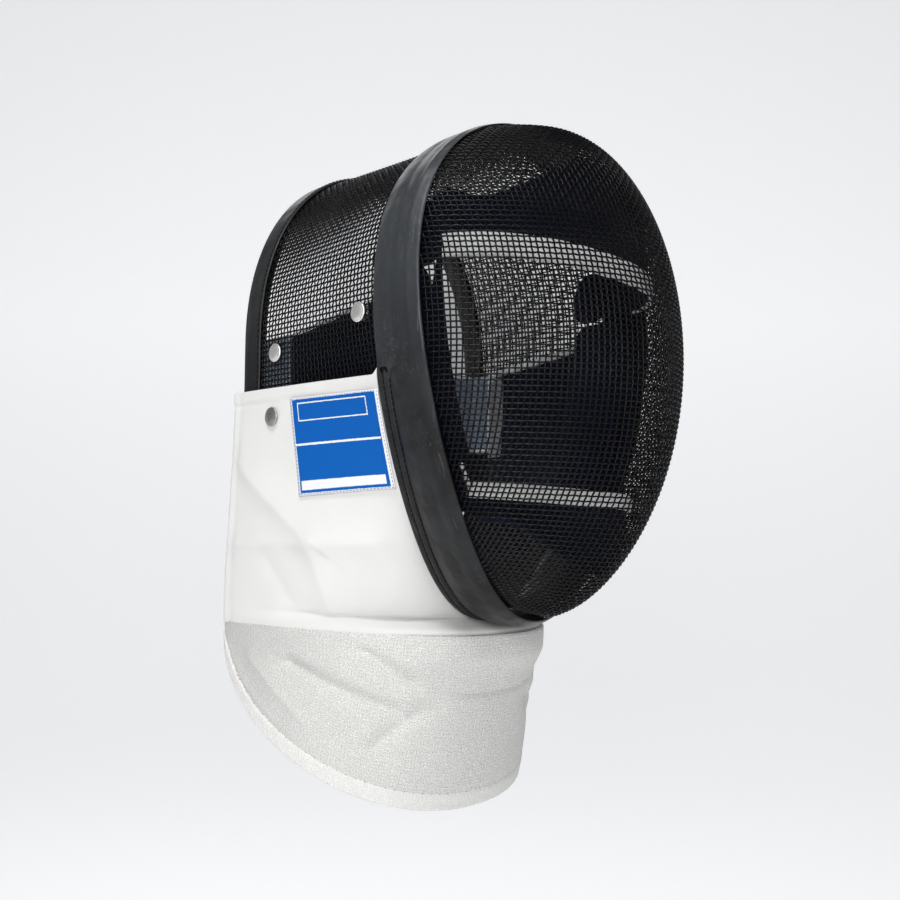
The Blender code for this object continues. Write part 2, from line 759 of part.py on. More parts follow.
def rear_strap():
    """The wide elastic behind the head, with a short leg forward along each side."""
    levels = 3
    rows = []
    for level in range(levels + 1):
        z = mix(STRAP_TOP_Z, STRAP_BOTTOM_Z, level / levels)
        corner_y = STRAP_REAR_Y - STRAP_CORNER
        front_x, leg_x = (barrel_half_width(y, z) - STRAP_INSET for y in (STRAP_FRONT_Y, corner_y))
        path = [(front_x, STRAP_FRONT_Y), (leg_x, corner_y)]
        for k in range(1, 4):
            angle = math.pi / 2 * k / 3
            x = leg_x - STRAP_CORNER * (1 - math.cos(angle))
            path.append((x, corner_y + STRAP_CORNER * math.sin(angle)))
        path.append((0.0450, STRAP_REAR_Y))
        right = [(-x, y, z) for x, y in path]
        rows.append([*right, *((x, y, z) for x, y in reversed(path))])
    bm = sheet(rows)
    face_away(bm, Vector((0.0, 0.0, STRAP_TOP_Z)))
    return thicken(finish("rear_strap", bm, "grey_elastic"), STRAP_WALL)


# ---- The rivets -------------------------------------------------------------------------------


def rivet_seat(name, y, z):
    """(outer half-width, inner half-width) of the stack of walls at a rivet."""
    wire = barrel_half_width(y, z)
    outer = bib_plan(bib_share(y, z), z)[0] if name == "bib_snap" else wire
    inner = wire - (WIRE_WALL if name == "front_rivet" else STRAP_INSET + STRAP_WALL)
    return outer, inner


def rivet(name, y, z, side_name):
    """A domed head outside, a shank through the walls and a flat disc inside them."""
    outer, inner = rivet_seat(name, y, z)
    head, tail = outer + RIVET_SLACK, inner - RIVET_SLACK
    profile = (
        (0.0, head + RIVET_RISE),
        (0.45 * RIVET_RADIUS, head + 0.92 * RIVET_RISE),
        (0.85 * RIVET_RADIUS, head + 0.55 * RIVET_RISE),
        (RIVET_RADIUS, head + 0.12 * RIVET_RISE),
        (RIVET_RADIUS, head),
        (RIVET_SHANK, head),
        (RIVET_SHANK, tail),
        (0.8 * RIVET_RADIUS, tail),
        (0.8 * RIVET_RADIUS, tail - RIVET_DISC),
        (0.0, tail - RIVET_DISC),
    )
    bm = bmesh.new()
    verts = [bm.verts.new((radius, 0.0, along)) for radius, along in profile]
    for a, b in zip(verts, verts[1:]):
        bm.edges.new((a, b))
    obj = finish(f"{name}_{side_name}", bm, "nickel", smooth=False)
    turned = obj.modifiers.new("turned", "SCREW")
    turned.steps = turned.render_steps = 14
    turned.use_merge_vertices = True
    turned.merge_threshold = 0.00001
    obj.rotation_euler = (0.0, SIDES[side_name] * math.pi / 2, 0.0)
    obj.location = (0.0, y, z)
    return obj


def rivet_holes(y, z, walls, side_name):
    """Cuts a rivet's hole through its walls."""
    mesh = bpy.data.meshes.new("rivet_hole")
    bm = bmesh.new()
    round_cut = {"segments": 10, "radius1": RIVET_HOLE, "radius2": RIVET_HOLE, "depth": 0.03}
    bmesh.ops.create_cone(bm, cap_ends=True, **round_cut)
    bm.to_mesh(mesh)
    bm.free()
    cutter = bpy.data.objects.new("rivet_hole", mesh)
    cutter.rotation_euler = (0.0, math.pi / 2, 0.0)
    cutter.location = (SIDES[side_name] * ARCH_HALF_WIDTH, y, z)
    cutter.hide_render = True
    cutter.display_type = "WIRE"
    cutters.objects.link(cutter)
    for wall in walls:
        cut = bpy.data.objects[wall].modifiers.new("rivet hole", "BOOLEAN")
        cut.operation = "DIFFERENCE"
        cut.object = cutter


def main():
    start_scene()
    front_mesh()
    side_mesh()
    rim_trim()
    rear_trim()
    bib_upper()
    bib_lower()
    label()
    forehead_pad()
    chin_pad()
    liner_edging()
    rear_strap()
    for side_name in SIDES:
        cheek_pad(side_name)
        for name, y, z, walls in RIVETS:
            rivet_holes(y, z, walls, side_name)
            rivet(name, y, z, side_name)


main()
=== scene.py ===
"""The looks of the fencing mask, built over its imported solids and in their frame.

Metres, +Z up. The face looks along -Y, the wearer's left is +X, and the origin is the head seat.
"""

import logging
import math
from dataclasses import dataclass
from enum import Enum
from functools import lru_cache
from typing import Any, Callable, Iterable, Sequence

import bmesh
import bpy
import numpy as np
from mathutils import Matrix, Vector, noise


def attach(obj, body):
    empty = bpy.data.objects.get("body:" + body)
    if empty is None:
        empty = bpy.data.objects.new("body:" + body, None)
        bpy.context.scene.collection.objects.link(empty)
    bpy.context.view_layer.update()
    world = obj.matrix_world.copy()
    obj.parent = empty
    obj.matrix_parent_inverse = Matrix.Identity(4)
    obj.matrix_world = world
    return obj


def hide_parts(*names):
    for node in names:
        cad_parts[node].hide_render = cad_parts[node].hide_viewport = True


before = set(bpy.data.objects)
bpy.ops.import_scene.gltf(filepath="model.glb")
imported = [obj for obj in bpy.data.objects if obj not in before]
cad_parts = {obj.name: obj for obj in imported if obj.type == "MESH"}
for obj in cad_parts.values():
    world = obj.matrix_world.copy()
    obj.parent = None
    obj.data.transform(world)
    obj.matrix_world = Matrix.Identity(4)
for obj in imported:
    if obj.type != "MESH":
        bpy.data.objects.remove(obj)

log = logging.getLogger("mask")
Place = Callable[[float, float], Vector]
Colour = tuple[float, float, float]


class Side(Enum):
    """The wearer's sides, as signs of x."""

    RIGHT = -1.0
    LEFT = 1.0


# ---- Numbers and curves


def curve(values: Sequence[float], at: Any) -> Any:
    """A polynomial's value at a number or an array, from its coefficients, the constant first."""
    return sum(value * at**power for power, value in enumerate(values))


def clamp(value: float, low: float = 0.0, high: float = 1.0) -> float:
    """The value, held between two limits."""
    return max(low, min(high, value))


def ease(value: float) -> float:
    """A smooth step from 0 to 1."""
    value = clamp(value)
    return value * value * (3 - 2 * value)


def mix(a: Any, b: Any, share: float) -> Any:
    """The value at a share of the way from a to b."""
    return a + (b - a) * share


def evenly(points: Sequence[Vector], count: int) -> list[Vector]:
    """A polyline's points respaced at equal lengths.

    Args:
        points: The polyline.
        count: How many points to return.

    Returns:
        The points, with the polyline's own ends.
    """
    reach = [0.0]
    for a, b in zip(points, points[1:]):
        reach.append(reach[-1] + (b - a).length)
    found, at = [], 0
    for k in range(count):
        goal = reach[-1] * k / (count - 1)
        while at < len(points) - 2 and reach[at + 1] < goal:
            at += 1
        share = (goal - reach[at]) / max(reach[at + 1] - reach[at], 1e-12)
        found.append(points[at].lerp(points[at + 1], clamp(share)))
    return found


def length_of(points: Sequence[Vector]) -> float:
    """The length of a polyline."""
    return sum((b - a).length for a, b in zip(points, points[1:]))


# ---- The mask's form, as in the solids


@dataclass(frozen=True)
class MaskForm:
    """The outlines of the rim, the dome, the barrel and the bib that the solids have too."""

    gap: float = 0.0003
    wire_wall: float = 0.0020
    rim_mid_z: float = -0.1455
    rim_height: float = 0.2986
    rim_width_curve: tuple[float, ...] = (0.1037, 0.0318, 0.0033, -0.0057)
    rim_y_curve: tuple[float, ...] = (-0.0700, -0.0018, 0.0069)
    dome_depth_curve: tuple[float, ...] = (0.0832, -0.0058, 0.0010, 0.0083)
    dome_section_power: float = 0.85
    side_inset: float = 0.0023
    side_start: float = 0.0080
    side_blend_y: float = -0.0270
    side_end_z: float = -0.1810
    arch_half_width: float = 0.1044
    arch_crown_z: float = 0.0040
    arch_spring_z: float = -0.1238
    arch_power: float = 2.14
    rear_y: float = 0.0920
    side_end_y: float = 0.0885
    channel_width: float = 0.0166
    channel_wall: float = 0.0013
    trim_rear_curve: tuple[float, ...] = (-0.0330, -0.0090, 0.0050)
    trim_inner: float = -0.0018
    bib_top_z: float = -0.1555
    bib_seam_rear_z: float = -0.3000
    bib_seam_front_z: float = -0.3060
    bib_seam_band: float = 0.0040
    bib_hem_rear_z: float = -0.3090
    bib_hem_front_z: float = -0.4130
    bib_hem_power: float = 1.8
    bib_half_widths: tuple[float, float] = (0.1108, 0.1090)
    bib_rear_ys: tuple[float, float] = (0.0945, 0.1035)
    bib_plan_powers: tuple[float, float] = (1.0, 0.42)
    bib_front: tuple[tuple[float, float], ...] = (
        (-0.3020, -0.0350), (-0.3200, -0.0345), (-0.3380, -0.0270),
        (-0.3650, -0.0205), (-0.3900, -0.0150), (-0.4130, -0.0090),
    )
    bib_rim_outset: float = 0.0013
    chin_drop_z: float = -0.2962
    chin_slack: float = 0.0016
    bib_axis_y: float = 0.0600
    bib_wall: float = 0.0030

    def height_share(self, z: Any) -> Any:
        """-1 at the rim's chin and 1 at its crown."""
        return np.clip(2 * (z - self.rim_mid_z) / self.rim_height, -1.0, 1.0)

    def rim_outline(self, angle: float, outset: float = 0.0) -> tuple[float, float]:
        """(x, z) on the rim's outline: angle 0 is the wearer's left, a quarter turn the crown.

        Args:
            angle: Where on the outline.
            outset: How far off it, outwards.

        Returns:
            The point's x and z.
        """

        def bare(at: float) -> Vector:
            """The outline's own point at an angle, from its middle."""
            height = math.sin(at)
            width = math.cos(at) * curve(self.rim_width_curve, height)
            return Vector((width, height * self.rim_height / 2))

        step = 0.001
        along = bare(angle + step) - bare(angle - step)
        point = bare(angle) + Vector((along.y, -along.x)).normalized() * outset
        return point.x, point.y + self.rim_mid_z

    def rim_half_width(self, z: float, outset: float = 0.0) -> float:
        """The outline's half-width at a height, 0 beyond its ends."""
        heights, widths = outline_table(outset)
        return float(np.interp(z, heights, widths, left=0.0, right=0.0))

    def rim_y(self, z: Any) -> Any:
        """How far fore or aft the rim is at a height."""
        return curve(self.rim_y_curve, self.height_share(z))

    def trim_rear_y(self, z: float) -> float:
        """Where the trim's rear edge is at a height."""
        return float(curve(self.trim_rear_curve, self.height_share(z)))

    def bare_half_width(self, z: Any) -> Any:
        """The rim's half-width at a height, for arrays too."""
        share = self.height_share(z)
        return np.sqrt(np.maximum(1 - share * share, 1e-9)) * curve(self.rim_width_curve, share)

    def dome_y(self, x: Any, z: Any) -> Any:
        """The dome's outer face, for numbers or arrays."""
        share = self.height_share(z)
        upright = np.sqrt(np.maximum(1 - share * share, 1e-9))
        turn = np.clip(np.abs(x) / self.bare_half_width(z), 0.0, 1.0) * math.pi / 2
        depth = upright * curve(self.dome_depth_curve, share)
        return self.rim_y(z) - depth * np.maximum(np.cos(turn), 1e-6) ** self.dome_section_power

    def front_profile(self, count: int) -> list[Vector]:
        """Half of the barrel's outline behind the rim, from the crown down the left side."""
        fine, points = 240, []
        for k in range(fine + 1):
            x, z = self.rim_outline(math.pi / 2 - math.pi * k / fine, -self.side_inset)
            if z < self.side_end_z:
                break
            points.append(Vector((x, z)))
        half = self.rim_half_width(self.side_end_z, -self.side_inset)
        return evenly([*points, Vector((half, self.side_end_z))], count)

    def arch_profile(self, count: int) -> list[Vector]:
        """Half of the barrel's outline at its rear edge, from the crown down the left side."""
        fine, points = 160, []
        rise = self.arch_crown_z - self.arch_spring_z
        for k in range(fine + 1):
            angle = math.pi / 2 * (1 - k / fine)
            x = self.arch_half_width * clamp(math.cos(angle)) ** (2 / self.arch_power)
            z = self.arch_spring_z + rise * clamp(math.sin(angle)) ** (2 / self.arch_power)
            points.append(Vector((x, z)))
        return evenly([*points, Vector((self.arch_half_width, self.side_end_z))], count)

    def side_point(self, front: Vector, rear: Vector, y: float) -> Vector:
        """A point of the barrel's outer face at a depth, from its matching profile points."""
        run = self.rear_y - self.channel_width - self.side_blend_y
        flat = front.lerp(rear, ease((y - self.side_blend_y) / run))
        return Vector((flat.x, y, flat.y))

    def barrel_half_width(self, y: float, z: float) -> float:
        """The barrel's outer face, as a half-width at a depth and a height."""
        run = self.rear_y - self.channel_width - self.side_blend_y
        fronts, rears = barrel_profiles()
        flat = mix(fronts, rears, ease((y - self.side_blend_y) / run))
        return float(np.interp(z, flat[::-1, 1], flat[::-1, 0]))

    def seam_z(self, share: float) -> float:
        """The seam's height at a share of the way from the bib's rear edge to its front."""
        return mix(self.bib_seam_rear_z, self.bib_seam_front_z, share * share)

    def bib_rear_y(self, z: float) -> float:
        """The bib's rear edge at a height."""
        drop = (self.bib_top_z - z) / (self.bib_top_z - self.bib_seam_rear_z)
        return mix(*self.bib_rear_ys, ease(drop))

    def bib_front_y(self, z: float) -> float:
        """The bib's front line: the trim's rear edge, then forward under it, back to the hem."""
        if z > self.chin_drop_z:
            slack = self.chin_slack * clamp(-float(self.height_share(z))) ** 8
            return self.trim_rear_y(z) + self.gap + slack
        start = self.trim_rear_y(self.chin_drop_z) + self.gap + self.chin_slack
        rows = ((self.chin_drop_z, start), *self.bib_front)
        for (upper_z, upper_y), (lower_z, lower_y) in zip(rows, rows[1:]):
            if z >= lower_z:
                return mix(upper_y, lower_y, (upper_z - z) / (upper_z - lower_z))
        return rows[-1][1]

    def bib_plan(self, share: float, z: float) -> tuple[float, float]:
        """(half-width, y) of the bib's outer face at a share of the way forward and a height.

        Args:
            share: 0 at the rear edge, 1 in front.
            z: The height.

        Returns:
            The half-width and the depth there.
        """
        front_z = z + self.bib_seam_front_z - self.seam_z(share)
        front_x = self.rim_half_width(front_z, self.bib_rim_outset)
        drop = clamp((z - self.bib_top_z) / (self.bib_hem_front_z - self.bib_top_z))
        side_x = mix(*self.bib_half_widths, drop)
        down = (self.bib_top_z - z) / (self.bib_top_z - self.bib_seam_rear_z)
        power = mix(*self.bib_plan_powers, ease(down))
        half_width = front_x + (side_x - front_x) * max(1 - share * share, 0.0) ** power
        return half_width, mix(self.bib_rear_y(z), self.bib_front_y(front_z), share)

    def off_bib(self, point: Vector) -> Vector:
        """The level direction away from the bib's upright axis at a point."""
        return Vector((point.x, point.y - self.bib_axis_y, 0.0)).normalized()

    def bib_share(self, y: float, z: float) -> float:
        """How far forward along the bib's side a depth is, at a height."""
        low, high = 0.0, 1.0
        for _ in range(26):
            middle = (low + high) / 2
            if self.bib_plan(middle, z)[1] > y:
                low = middle
            else:
                high = middle
        return low


FORM = MaskForm()


@lru_cache(maxsize=None)
def outline_table(outset: float) -> tuple[np.ndarray, np.ndarray]:
    """(heights, half-widths) along the rim's outline at this outset, from the chin up."""
    rows = [FORM.rim_outline(angle, outset)
            for angle in np.linspace(-math.pi / 2, math.pi / 2, 1601)]
    widths, heights = np.array(rows).T
    return heights, widths


@lru_cache(maxsize=None)
def barrel_profiles() -> tuple[np.ndarray, np.ndarray]:
    """The barrel's front and rear profiles as arrays of (x, z), from the crown down."""
    count = 80
    return np.array(FORM.front_profile(count)), np.array(FORM.arch_profile(count))


# ---- Meshes


def shaped_grid(columns: int, rows: int, place: Place, size: tuple[float, float] = (1.0, 1.0),
                joined: bool = False) -> bmesh.types.BMesh:
    """A grid with its UVs in metres, bent to a surface.

    Args:
        columns: Faces across.
        rows: Faces down.
        place: Gives the point at the shares (across, down), each from 0 to 1.
        size: The cloth's width and height, which scale the UVs.
        joined: Whether edges that meet are merged, and the faces turned outwards.

    Returns:
        The new bmesh.
    """
    bm = bmesh.new()
    uv = bm.loops.layers.uv.new("UVMap")
    bmesh.ops.create_grid(bm, x_segments=columns, y_segments=rows, size=0.5)
    shares = {vert: (vert.co.x + 0.5, vert.co.y + 0.5) for vert in bm.verts}
    for face in bm.faces:
        for loop in face.loops:
            across, down = shares[loop.vert]
            loop[uv].uv = (across * size[0], down * size[1])
    for vert, (across, down) in shares.items():
        vert.co = place(clamp(across), clamp(down))
    if joined:
        bmesh.ops.remove_doubles(bm, verts=bm.verts, dist=1e-6)
        bmesh.ops.recalc_face_normals(bm, faces=bm.faces)
    return bm


def face_away(bm: bmesh.types.BMesh, centre: Vector) -> None:
    """Turns a sheet's faces away from a point inside it."""
    bmesh.ops.recalc_face_normals(bm, faces=bm.faces)
    if sum(f.normal.dot(f.calc_center_median() - centre) * f.calc_area() for f in bm.faces) < 0:
        bmesh.ops.reverse_faces(bm, faces=bm.faces)


def linked(name: str, mesh: bpy.types.Mesh) -> bpy.types.Object:
    """A smooth-shaded object of a mesh, linked to the scene."""
    mesh.shade_smooth()
    obj = bpy.data.objects.new(name, mesh)
    bpy.context.scene.collection.objects.link(obj)
    return obj


def to_object(name: str, bm: bmesh.types.BMesh,
              *materials: bpy.types.Material) -> bpy.types.Object:
    """A smooth-shaded object of a bmesh, which it frees.

    Args:
        name: The piece's name.
        bm: Its mesh.
        materials: Its finish, and a second one for marked faces or for its lining.

    Returns:
        The object, linked to the scene.
    """
    mesh = bpy.data.meshes.new(name)
    bm.to_mesh(mesh)
    bm.free()
    for material in materials:
        mesh.materials.append(material)
    return linked(name, mesh)


def soften(obj: bpy.types.Object, levels: int = 1) -> None:
    """Subdivides a piece smoothly, as finely on screen as in a render."""
    soft = obj.modifiers.new("soft", "SUBSURF")
    soft.levels = soft.render_levels = levels


def thicken(obj: bpy.types.Object, wall: float, levels: int = 0) -> None:
    """Gives a sheet its wall on its inner side, and softens it.

    Args:
        obj: The sheet.
        wall: Its thickness.
        levels: Levels of subdivision.
    """
    solid = obj.modifiers.new("wall", "SOLIDIFY")
    solid.thickness, solid.offset = wall, -1
    solid.material_offset = len(obj.data.materials) - 1
    if levels:
        soften(obj, levels)


def tubes(name: str, paths: Iterable[Sequence[Vector]], radius: float,
          material: bpy.types.Material, rounds: int = 1,
          caps: bool = False) -> bpy.types.Object:
    """One mesh of round wires or threads along polylines.

    Args:
        name: The piece's name.
        paths: The polylines.
        radius: The wire's radius.
        material: Its finish.
        rounds: The bevel's resolution, 4 sides at 0 and 6 at 1.
        caps: Whether open ends are closed.

    Returns:
        The object, linked to the scene.
    """
    data = bpy.data.curves.new(name, "CURVE")
    data.dimensions = "3D"
    data.bevel_depth, data.bevel_resolution, data.use_fill_caps = radius, rounds, caps
    for path in paths:
        line = data.splines.new("POLY")
        line.points.add(len(path) - 1)
        line.points.foreach_set("co", [value for p in path for value in (*p, 1.0)])
    holder = bpy.data.objects.new(name + "_line", data)
    bpy.context.scene.collection.objects.link(holder)
    bpy.context.view_layer.update()
    graph = bpy.context.evaluated_depsgraph_get()
    mesh = bpy.data.meshes.new_from_object(holder.evaluated_get(graph))
    bpy.data.objects.remove(holder)
    bpy.data.curves.remove(data)
    mesh.name = name
    mesh.materials.clear()
    mesh.materials.append(material)
    return linked(name, mesh)


def stitches(path: Sequence[Vector], outward: Callable[[Vector], Vector], stitch: float = 0.0028,
             space: float = 0.0009, lift: float = 0.0003) -> list[list[Vector]]:
    """Short threads along a line, each rising a little between its two holes.

    Args:
        path: The line of the seam.
        outward: Gives the direction off the surface at a point.
        stitch: The thread's length on show.
        space: The gap between two threads.
        lift: How high the middle stands over the ends.

    Returns:
        A short polyline for each stitch.
    """
    total = length_of(path)
    count = max(2, round(total / (stitch + space)))
    fine = evenly(path, count * 8 + 1)
    reach = round(8 * stitch / (stitch + space))
    found = []
    for k in range(count):
        a, b = fine[8 * k], fine[8 * k + reach]
        middle = fine[8 * k + reach // 2]
        found.append([a - outward(a) * lift, middle + outward(middle) * lift,
                      b - outward(b) * lift])
    return found


def piece(obj: bpy.types.Object, slot: str, *nodes: str) -> bpy.types.Object:
    """Rides a new piece on the mask and hides the solids that it stands for.

    Args:
        obj: The piece.
        slot: Its material slot; not used.
        nodes: The solids that it stands for, if any.

    Returns:
        The same object.
    """
    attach(obj, "root")
    if nodes:
        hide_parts(*nodes)
    faces = len(obj.data.polygons) if obj.type == "MESH" else 0
    log.info("%s: %d faces before its modifiers", obj.name, faces)
    return obj


# ---- Shader graphs


class Graph:
    """A node tree that is filled node by node."""

    def __init__(self, tree: bpy.types.NodeTree) -> None:
        """Starts on a tree."""
        self.tree = tree

    def add(self, kind: str, inputs: dict[Any, Any] | None = None, **settings: Any) -> Any:
        """Adds a node.

        Args:
            kind: The node's type after "ShaderNode".
            inputs: Sockets by name or index, each a value or a socket to link.
            settings: The node's own properties.

        Returns:
            The node.
        """
        node = self.tree.nodes.new("ShaderNode" + kind)
        for name, value in settings.items():
            setattr(node, name, value)
        for name, value in (inputs or {}).items():
            if isinstance(value, bpy.types.NodeSocket):
                self.tree.links.new(value, node.inputs[name])
            else:
                node.inputs[name].default_value = value
        return node

    def math(self, operation: str, a: Any, b: Any = 0.0, limit: bool = False) -> Any:
        """The output of a Math node."""
        return self.add("Math", {0: a, 1: b}, operation=operation, use_clamp=limit).outputs[0]

    def ramp(self, factor: Any, *stops: tuple[float, float | Colour]) -> Any:
        """The colour output of a ramp over a factor, with stops of (place, grey or colour)."""
        node = self.add("ValToRGB", {"Fac": factor})
        elements = node.color_ramp.elements
        while len(elements) < len(stops):
            elements.new(0.5)
        for element, (place, value) in zip(elements, stops):
            element.position = place
            element.color = (value,) * 3 + (1.0,) if isinstance(value, float) else (*value, 1.0)
        return node.outputs["Color"]

    def blend(self, factor: Any, a: Any, b: Any, kind: str = "MIX") -> Any:
        """The colour output of a Mix node.

        Args:
            factor: The share of b, a value or a socket.
            a: The first colour or socket.
            b: The second.
            kind: The blend type.

        Returns:
            The colour socket.
        """
        node = self.add("Mix", data_type="RGBA", blend_type=kind)
        for index, value in ((0, factor), (6, a), (7, b)):
            if isinstance(value, bpy.types.NodeSocket):
                self.tree.links.new(value, node.inputs[index])
            elif index == 0:
                node.inputs[index].default_value = value
            else:
                node.inputs[index].default_value = (*value, 1.0)
        return node.outputs[2]

    def noise(self, vector: Any, scale: float, detail: float = 4.0, rough: float = 0.55) -> Any:
        """The value output of a Noise texture."""
        return self.add("TexNoise", {"Vector": vector, "Scale": scale, "Detail": detail,
                                     "Roughness": rough}).outputs["Fac"]

    def frayed(self, vector: Any, scale: float, reach: Any) -> Any:
        """The vector, shifted a little this way and that.

        Args:
            vector: The coordinates.
            scale: The scale of the noise that shifts them.
            reach: How far, a value or a socket.

        Returns:
            The shifted coordinates' socket.
        """
        wobble = self.add("TexNoise", {"Vector": vector, "Scale": scale})
        shift = self.add("VectorMath", {0: wobble.outputs["Color"], 1: (0.5, 0.5, 0.5)},
                         operation="SUBTRACT").outputs[0]
        shift = self.add("VectorMath", {0: shift, 3: reach}, operation="SCALE").outputs[0]
        return self.add("VectorMath", {0: vector, 1: shift}, operation="ADD").outputs[0]

    def group(self, name: str, inputs: dict[str, Any]) -> Any:
        """Places a shared effect, and returns its node."""
        node = self.add("Group", node_tree=bpy.data.node_groups[name])
        for key, value in inputs.items():
            if isinstance(value, bpy.types.NodeSocket):
                self.tree.links.new(value, node.inputs[key])
            else:
                node.inputs[key].default_value = value
        return node


def new_group(name: str, inputs: Sequence[tuple[str, str, float]],
              outputs: Sequence[tuple[str, str]]) -> tuple[Graph, Any, Any]:
    """Starts a shared shader effect.

    Args:
        name: The group's name.
        inputs: (name, socket type, default) rows, the default unused for a vector.
        outputs: (name, socket type) rows.

    Returns:
        The graph, its input node and its output node.
    """
    tree = bpy.data.node_groups.new(name, "ShaderNodeTree")
    for label, kind, default in inputs:
        made = tree.interface.new_socket(label, in_out="INPUT", socket_type=kind)
        if kind == "NodeSocketFloat":
            made.default_value = default
    for label, kind in outputs:
        tree.interface.new_socket(label, in_out="OUTPUT", socket_type=kind)
    return Graph(tree), tree.nodes.new("NodeGroupInput"), tree.nodes.new("NodeGroupOutput")


def build_weave() -> None:
    """Plain weave: threads that pass over and under each other, on a vector in metres."""
    vector, number = "NodeSocketVector", "NodeSocketFloat"
    graph, given, out = new_group(
        "weave", [("Vector", vector, 0.0), ("Pitch", number, 0.001), ("Fray", number, 0.0)],
        [("Height", number)])
    moved = graph.frayed(given.outputs["Vector"], 260.0, given.outputs["Fray"])
    parts = graph.add("SeparateXYZ", {0: moved})
    turns = [graph.math("DIVIDE", parts.outputs[axis], given.outputs["Pitch"]) for axis in (0, 1)]
    waves = [graph.math("ABSOLUTE", graph.math("SINE", graph.math("MULTIPLY", turn, math.pi)))
             for turn in turns]
    cells = graph.math("ADD", *[graph.math("FLOOR", turn) for turn in turns])
    over = graph.math("ABSOLUTE", graph.math("MODULO", cells, 2.0))
    height = graph.add("Mix", {0: over, 2: waves[0], 3: waves[1]}).outputs[0]
    hollow = graph.math("MULTIPLY", waves[0], waves[1])
    height = graph.math("MULTIPLY", height, graph.math("POWER", hollow, 0.4))
    graph.tree.links.new(height, out.inputs["Height"])


def build_wear() -> None:
    """Dust, rubbed patches and fine scratches, as masks from 0 to 1."""
    vector, number = "NodeSocketVector", "NodeSocketFloat"
    graph, given, out = new_group(
        "wear", [("Vector", vector, 0.0), ("Scale", number, 1.0)],
        [("Rubbed", number), ("Dust", number), ("Scratch", number), ("Grain", number)])
    place = graph.add("VectorMath", {0: given.outputs["Vector"], 3: given.outputs["Scale"]},
                      operation="SCALE").outputs[0]
    rubbed = graph.ramp(graph.noise(place, 26.0, 6.0, 0.62), (0.46, 0.0), (0.72, 1.0))
    specks = graph.noise(place, 620.0, 3.0, 0.7)
    patch = graph.noise(place, 34.0, 3.0)
    dust = graph.math("MULTIPLY", graph.ramp(specks, (0.58, 0.0), (0.70, 1.0)),
                      graph.ramp(patch, (0.5, 0.0), (0.75, 1.0)))
    lines = graph.add("Mapping", {"Vector": place, "Scale": (60.0, 900.0, 60.0),
                                  "Rotation": (0.3, 0.5, 0.2)})
    scratch = graph.ramp(graph.noise(lines.outputs[0], 1.0, 2.0, 0.5), (0.67, 0.0), (0.71, 1.0))
    grain = graph.noise(place, 1500.0, 5.0, 0.6)
    for name, value in (("Rubbed", rubbed), ("Dust", dust), ("Scratch", scratch),
                        ("Grain", grain)):
        graph.tree.links.new(value, out.inputs[name])


@dataclass(frozen=True)
class Finish:
    """A surface finish: its name, colour and shine. Each kind fills its own graph."""

    name: str
    colour: Colour
    rough: float = 0.6
    metal: float = 0.0

    def material(self) -> bpy.types.Material:
        """The material, made at its first use."""
        found = bpy.data.materials.get("look_" + self.name)
        if found:
            return found
        made = bpy.data.materials.new("look_" + self.name)
        made.use_nodes = True
        made.diffuse_color = (*self.colour, 1.0)
        graph = Graph(made.node_tree)
        shader = made.node_tree.nodes["Principled BSDF"]
        shader.inputs["Base Color"].default_value = (*self.colour, 1.0)
        shader.inputs["Roughness"].default_value = self.rough
        shader.inputs["Metallic"].default_value = self.metal
        self.fill(graph, shader)
        return made

    def fill(self, graph: Graph, shader: Any) -> None:
        """Adds this finish's own nodes."""

    @staticmethod
    def place(graph: Graph, uv: bool = False) -> Any:
        """The Object coordinates, or the piece's own UV map in metres."""
        return graph.add("TexCoord").outputs["UV" if uv else "Object"]

    @staticmethod
    def bump(graph: Graph, shader: Any, height: Any, depth: float, strength: float = 1.0) -> None:
        """Feeds a height into the shader's normal, over any relief that it has already.

        Args:
            graph: The material's graph.
            shader: Its Principled node.
            height: A socket from 0 to 1.
            depth: The height of a full step, in metres.
            strength: How strongly the normal turns.
        """
        given = {"Height": height, "Distance": depth, "Strength": strength}
        normal = shader.inputs["Normal"]
        if normal.is_linked:
            given["Normal"] = normal.links[0].from_socket
        graph.tree.links.new(graph.add("Bump", given).outputs[0], normal)

    @staticmethod
    def link(graph: Graph, value: Any, shader: Any, socket: str) -> None:
        """Links a value to one of the shader's sockets."""
        graph.tree.links.new(value, shader.inputs[socket])


@dataclass(frozen=True)
class WirePaint(Finish):
    """Black paint on woven steel, rubbed thin here and there."""

    glint: float = 0.13

    def fill(self, graph: Graph, shader: Any) -> None:
        """Uneven gloss, and grey where the paint is rubbed."""
        place = self.place(graph)
        wear = graph.group("wear", {"Vector": place, "Scale": 1.0})
        spots = graph.noise(place, 900.0, 2.0)
        rubbed = graph.math("MULTIPLY", wear.outputs["Rubbed"],
                            graph.ramp(spots, (0.45, 0.0), (0.62, 1.0)))
        worn = tuple(value * 3.0 + 0.008 for value in self.colour)
        self.link(graph, graph.blend(rubbed, self.colour, worn), shader, "Base Color")
        self.link(graph, graph.ramp(spots, (0.3, self.rough - 0.06), (0.7, self.rough + 0.14)),
                  shader, "Roughness")
        self.bump(graph, shader, spots, 0.00006, 0.4)
        shader.inputs["Specular IOR Level"].default_value = self.glint


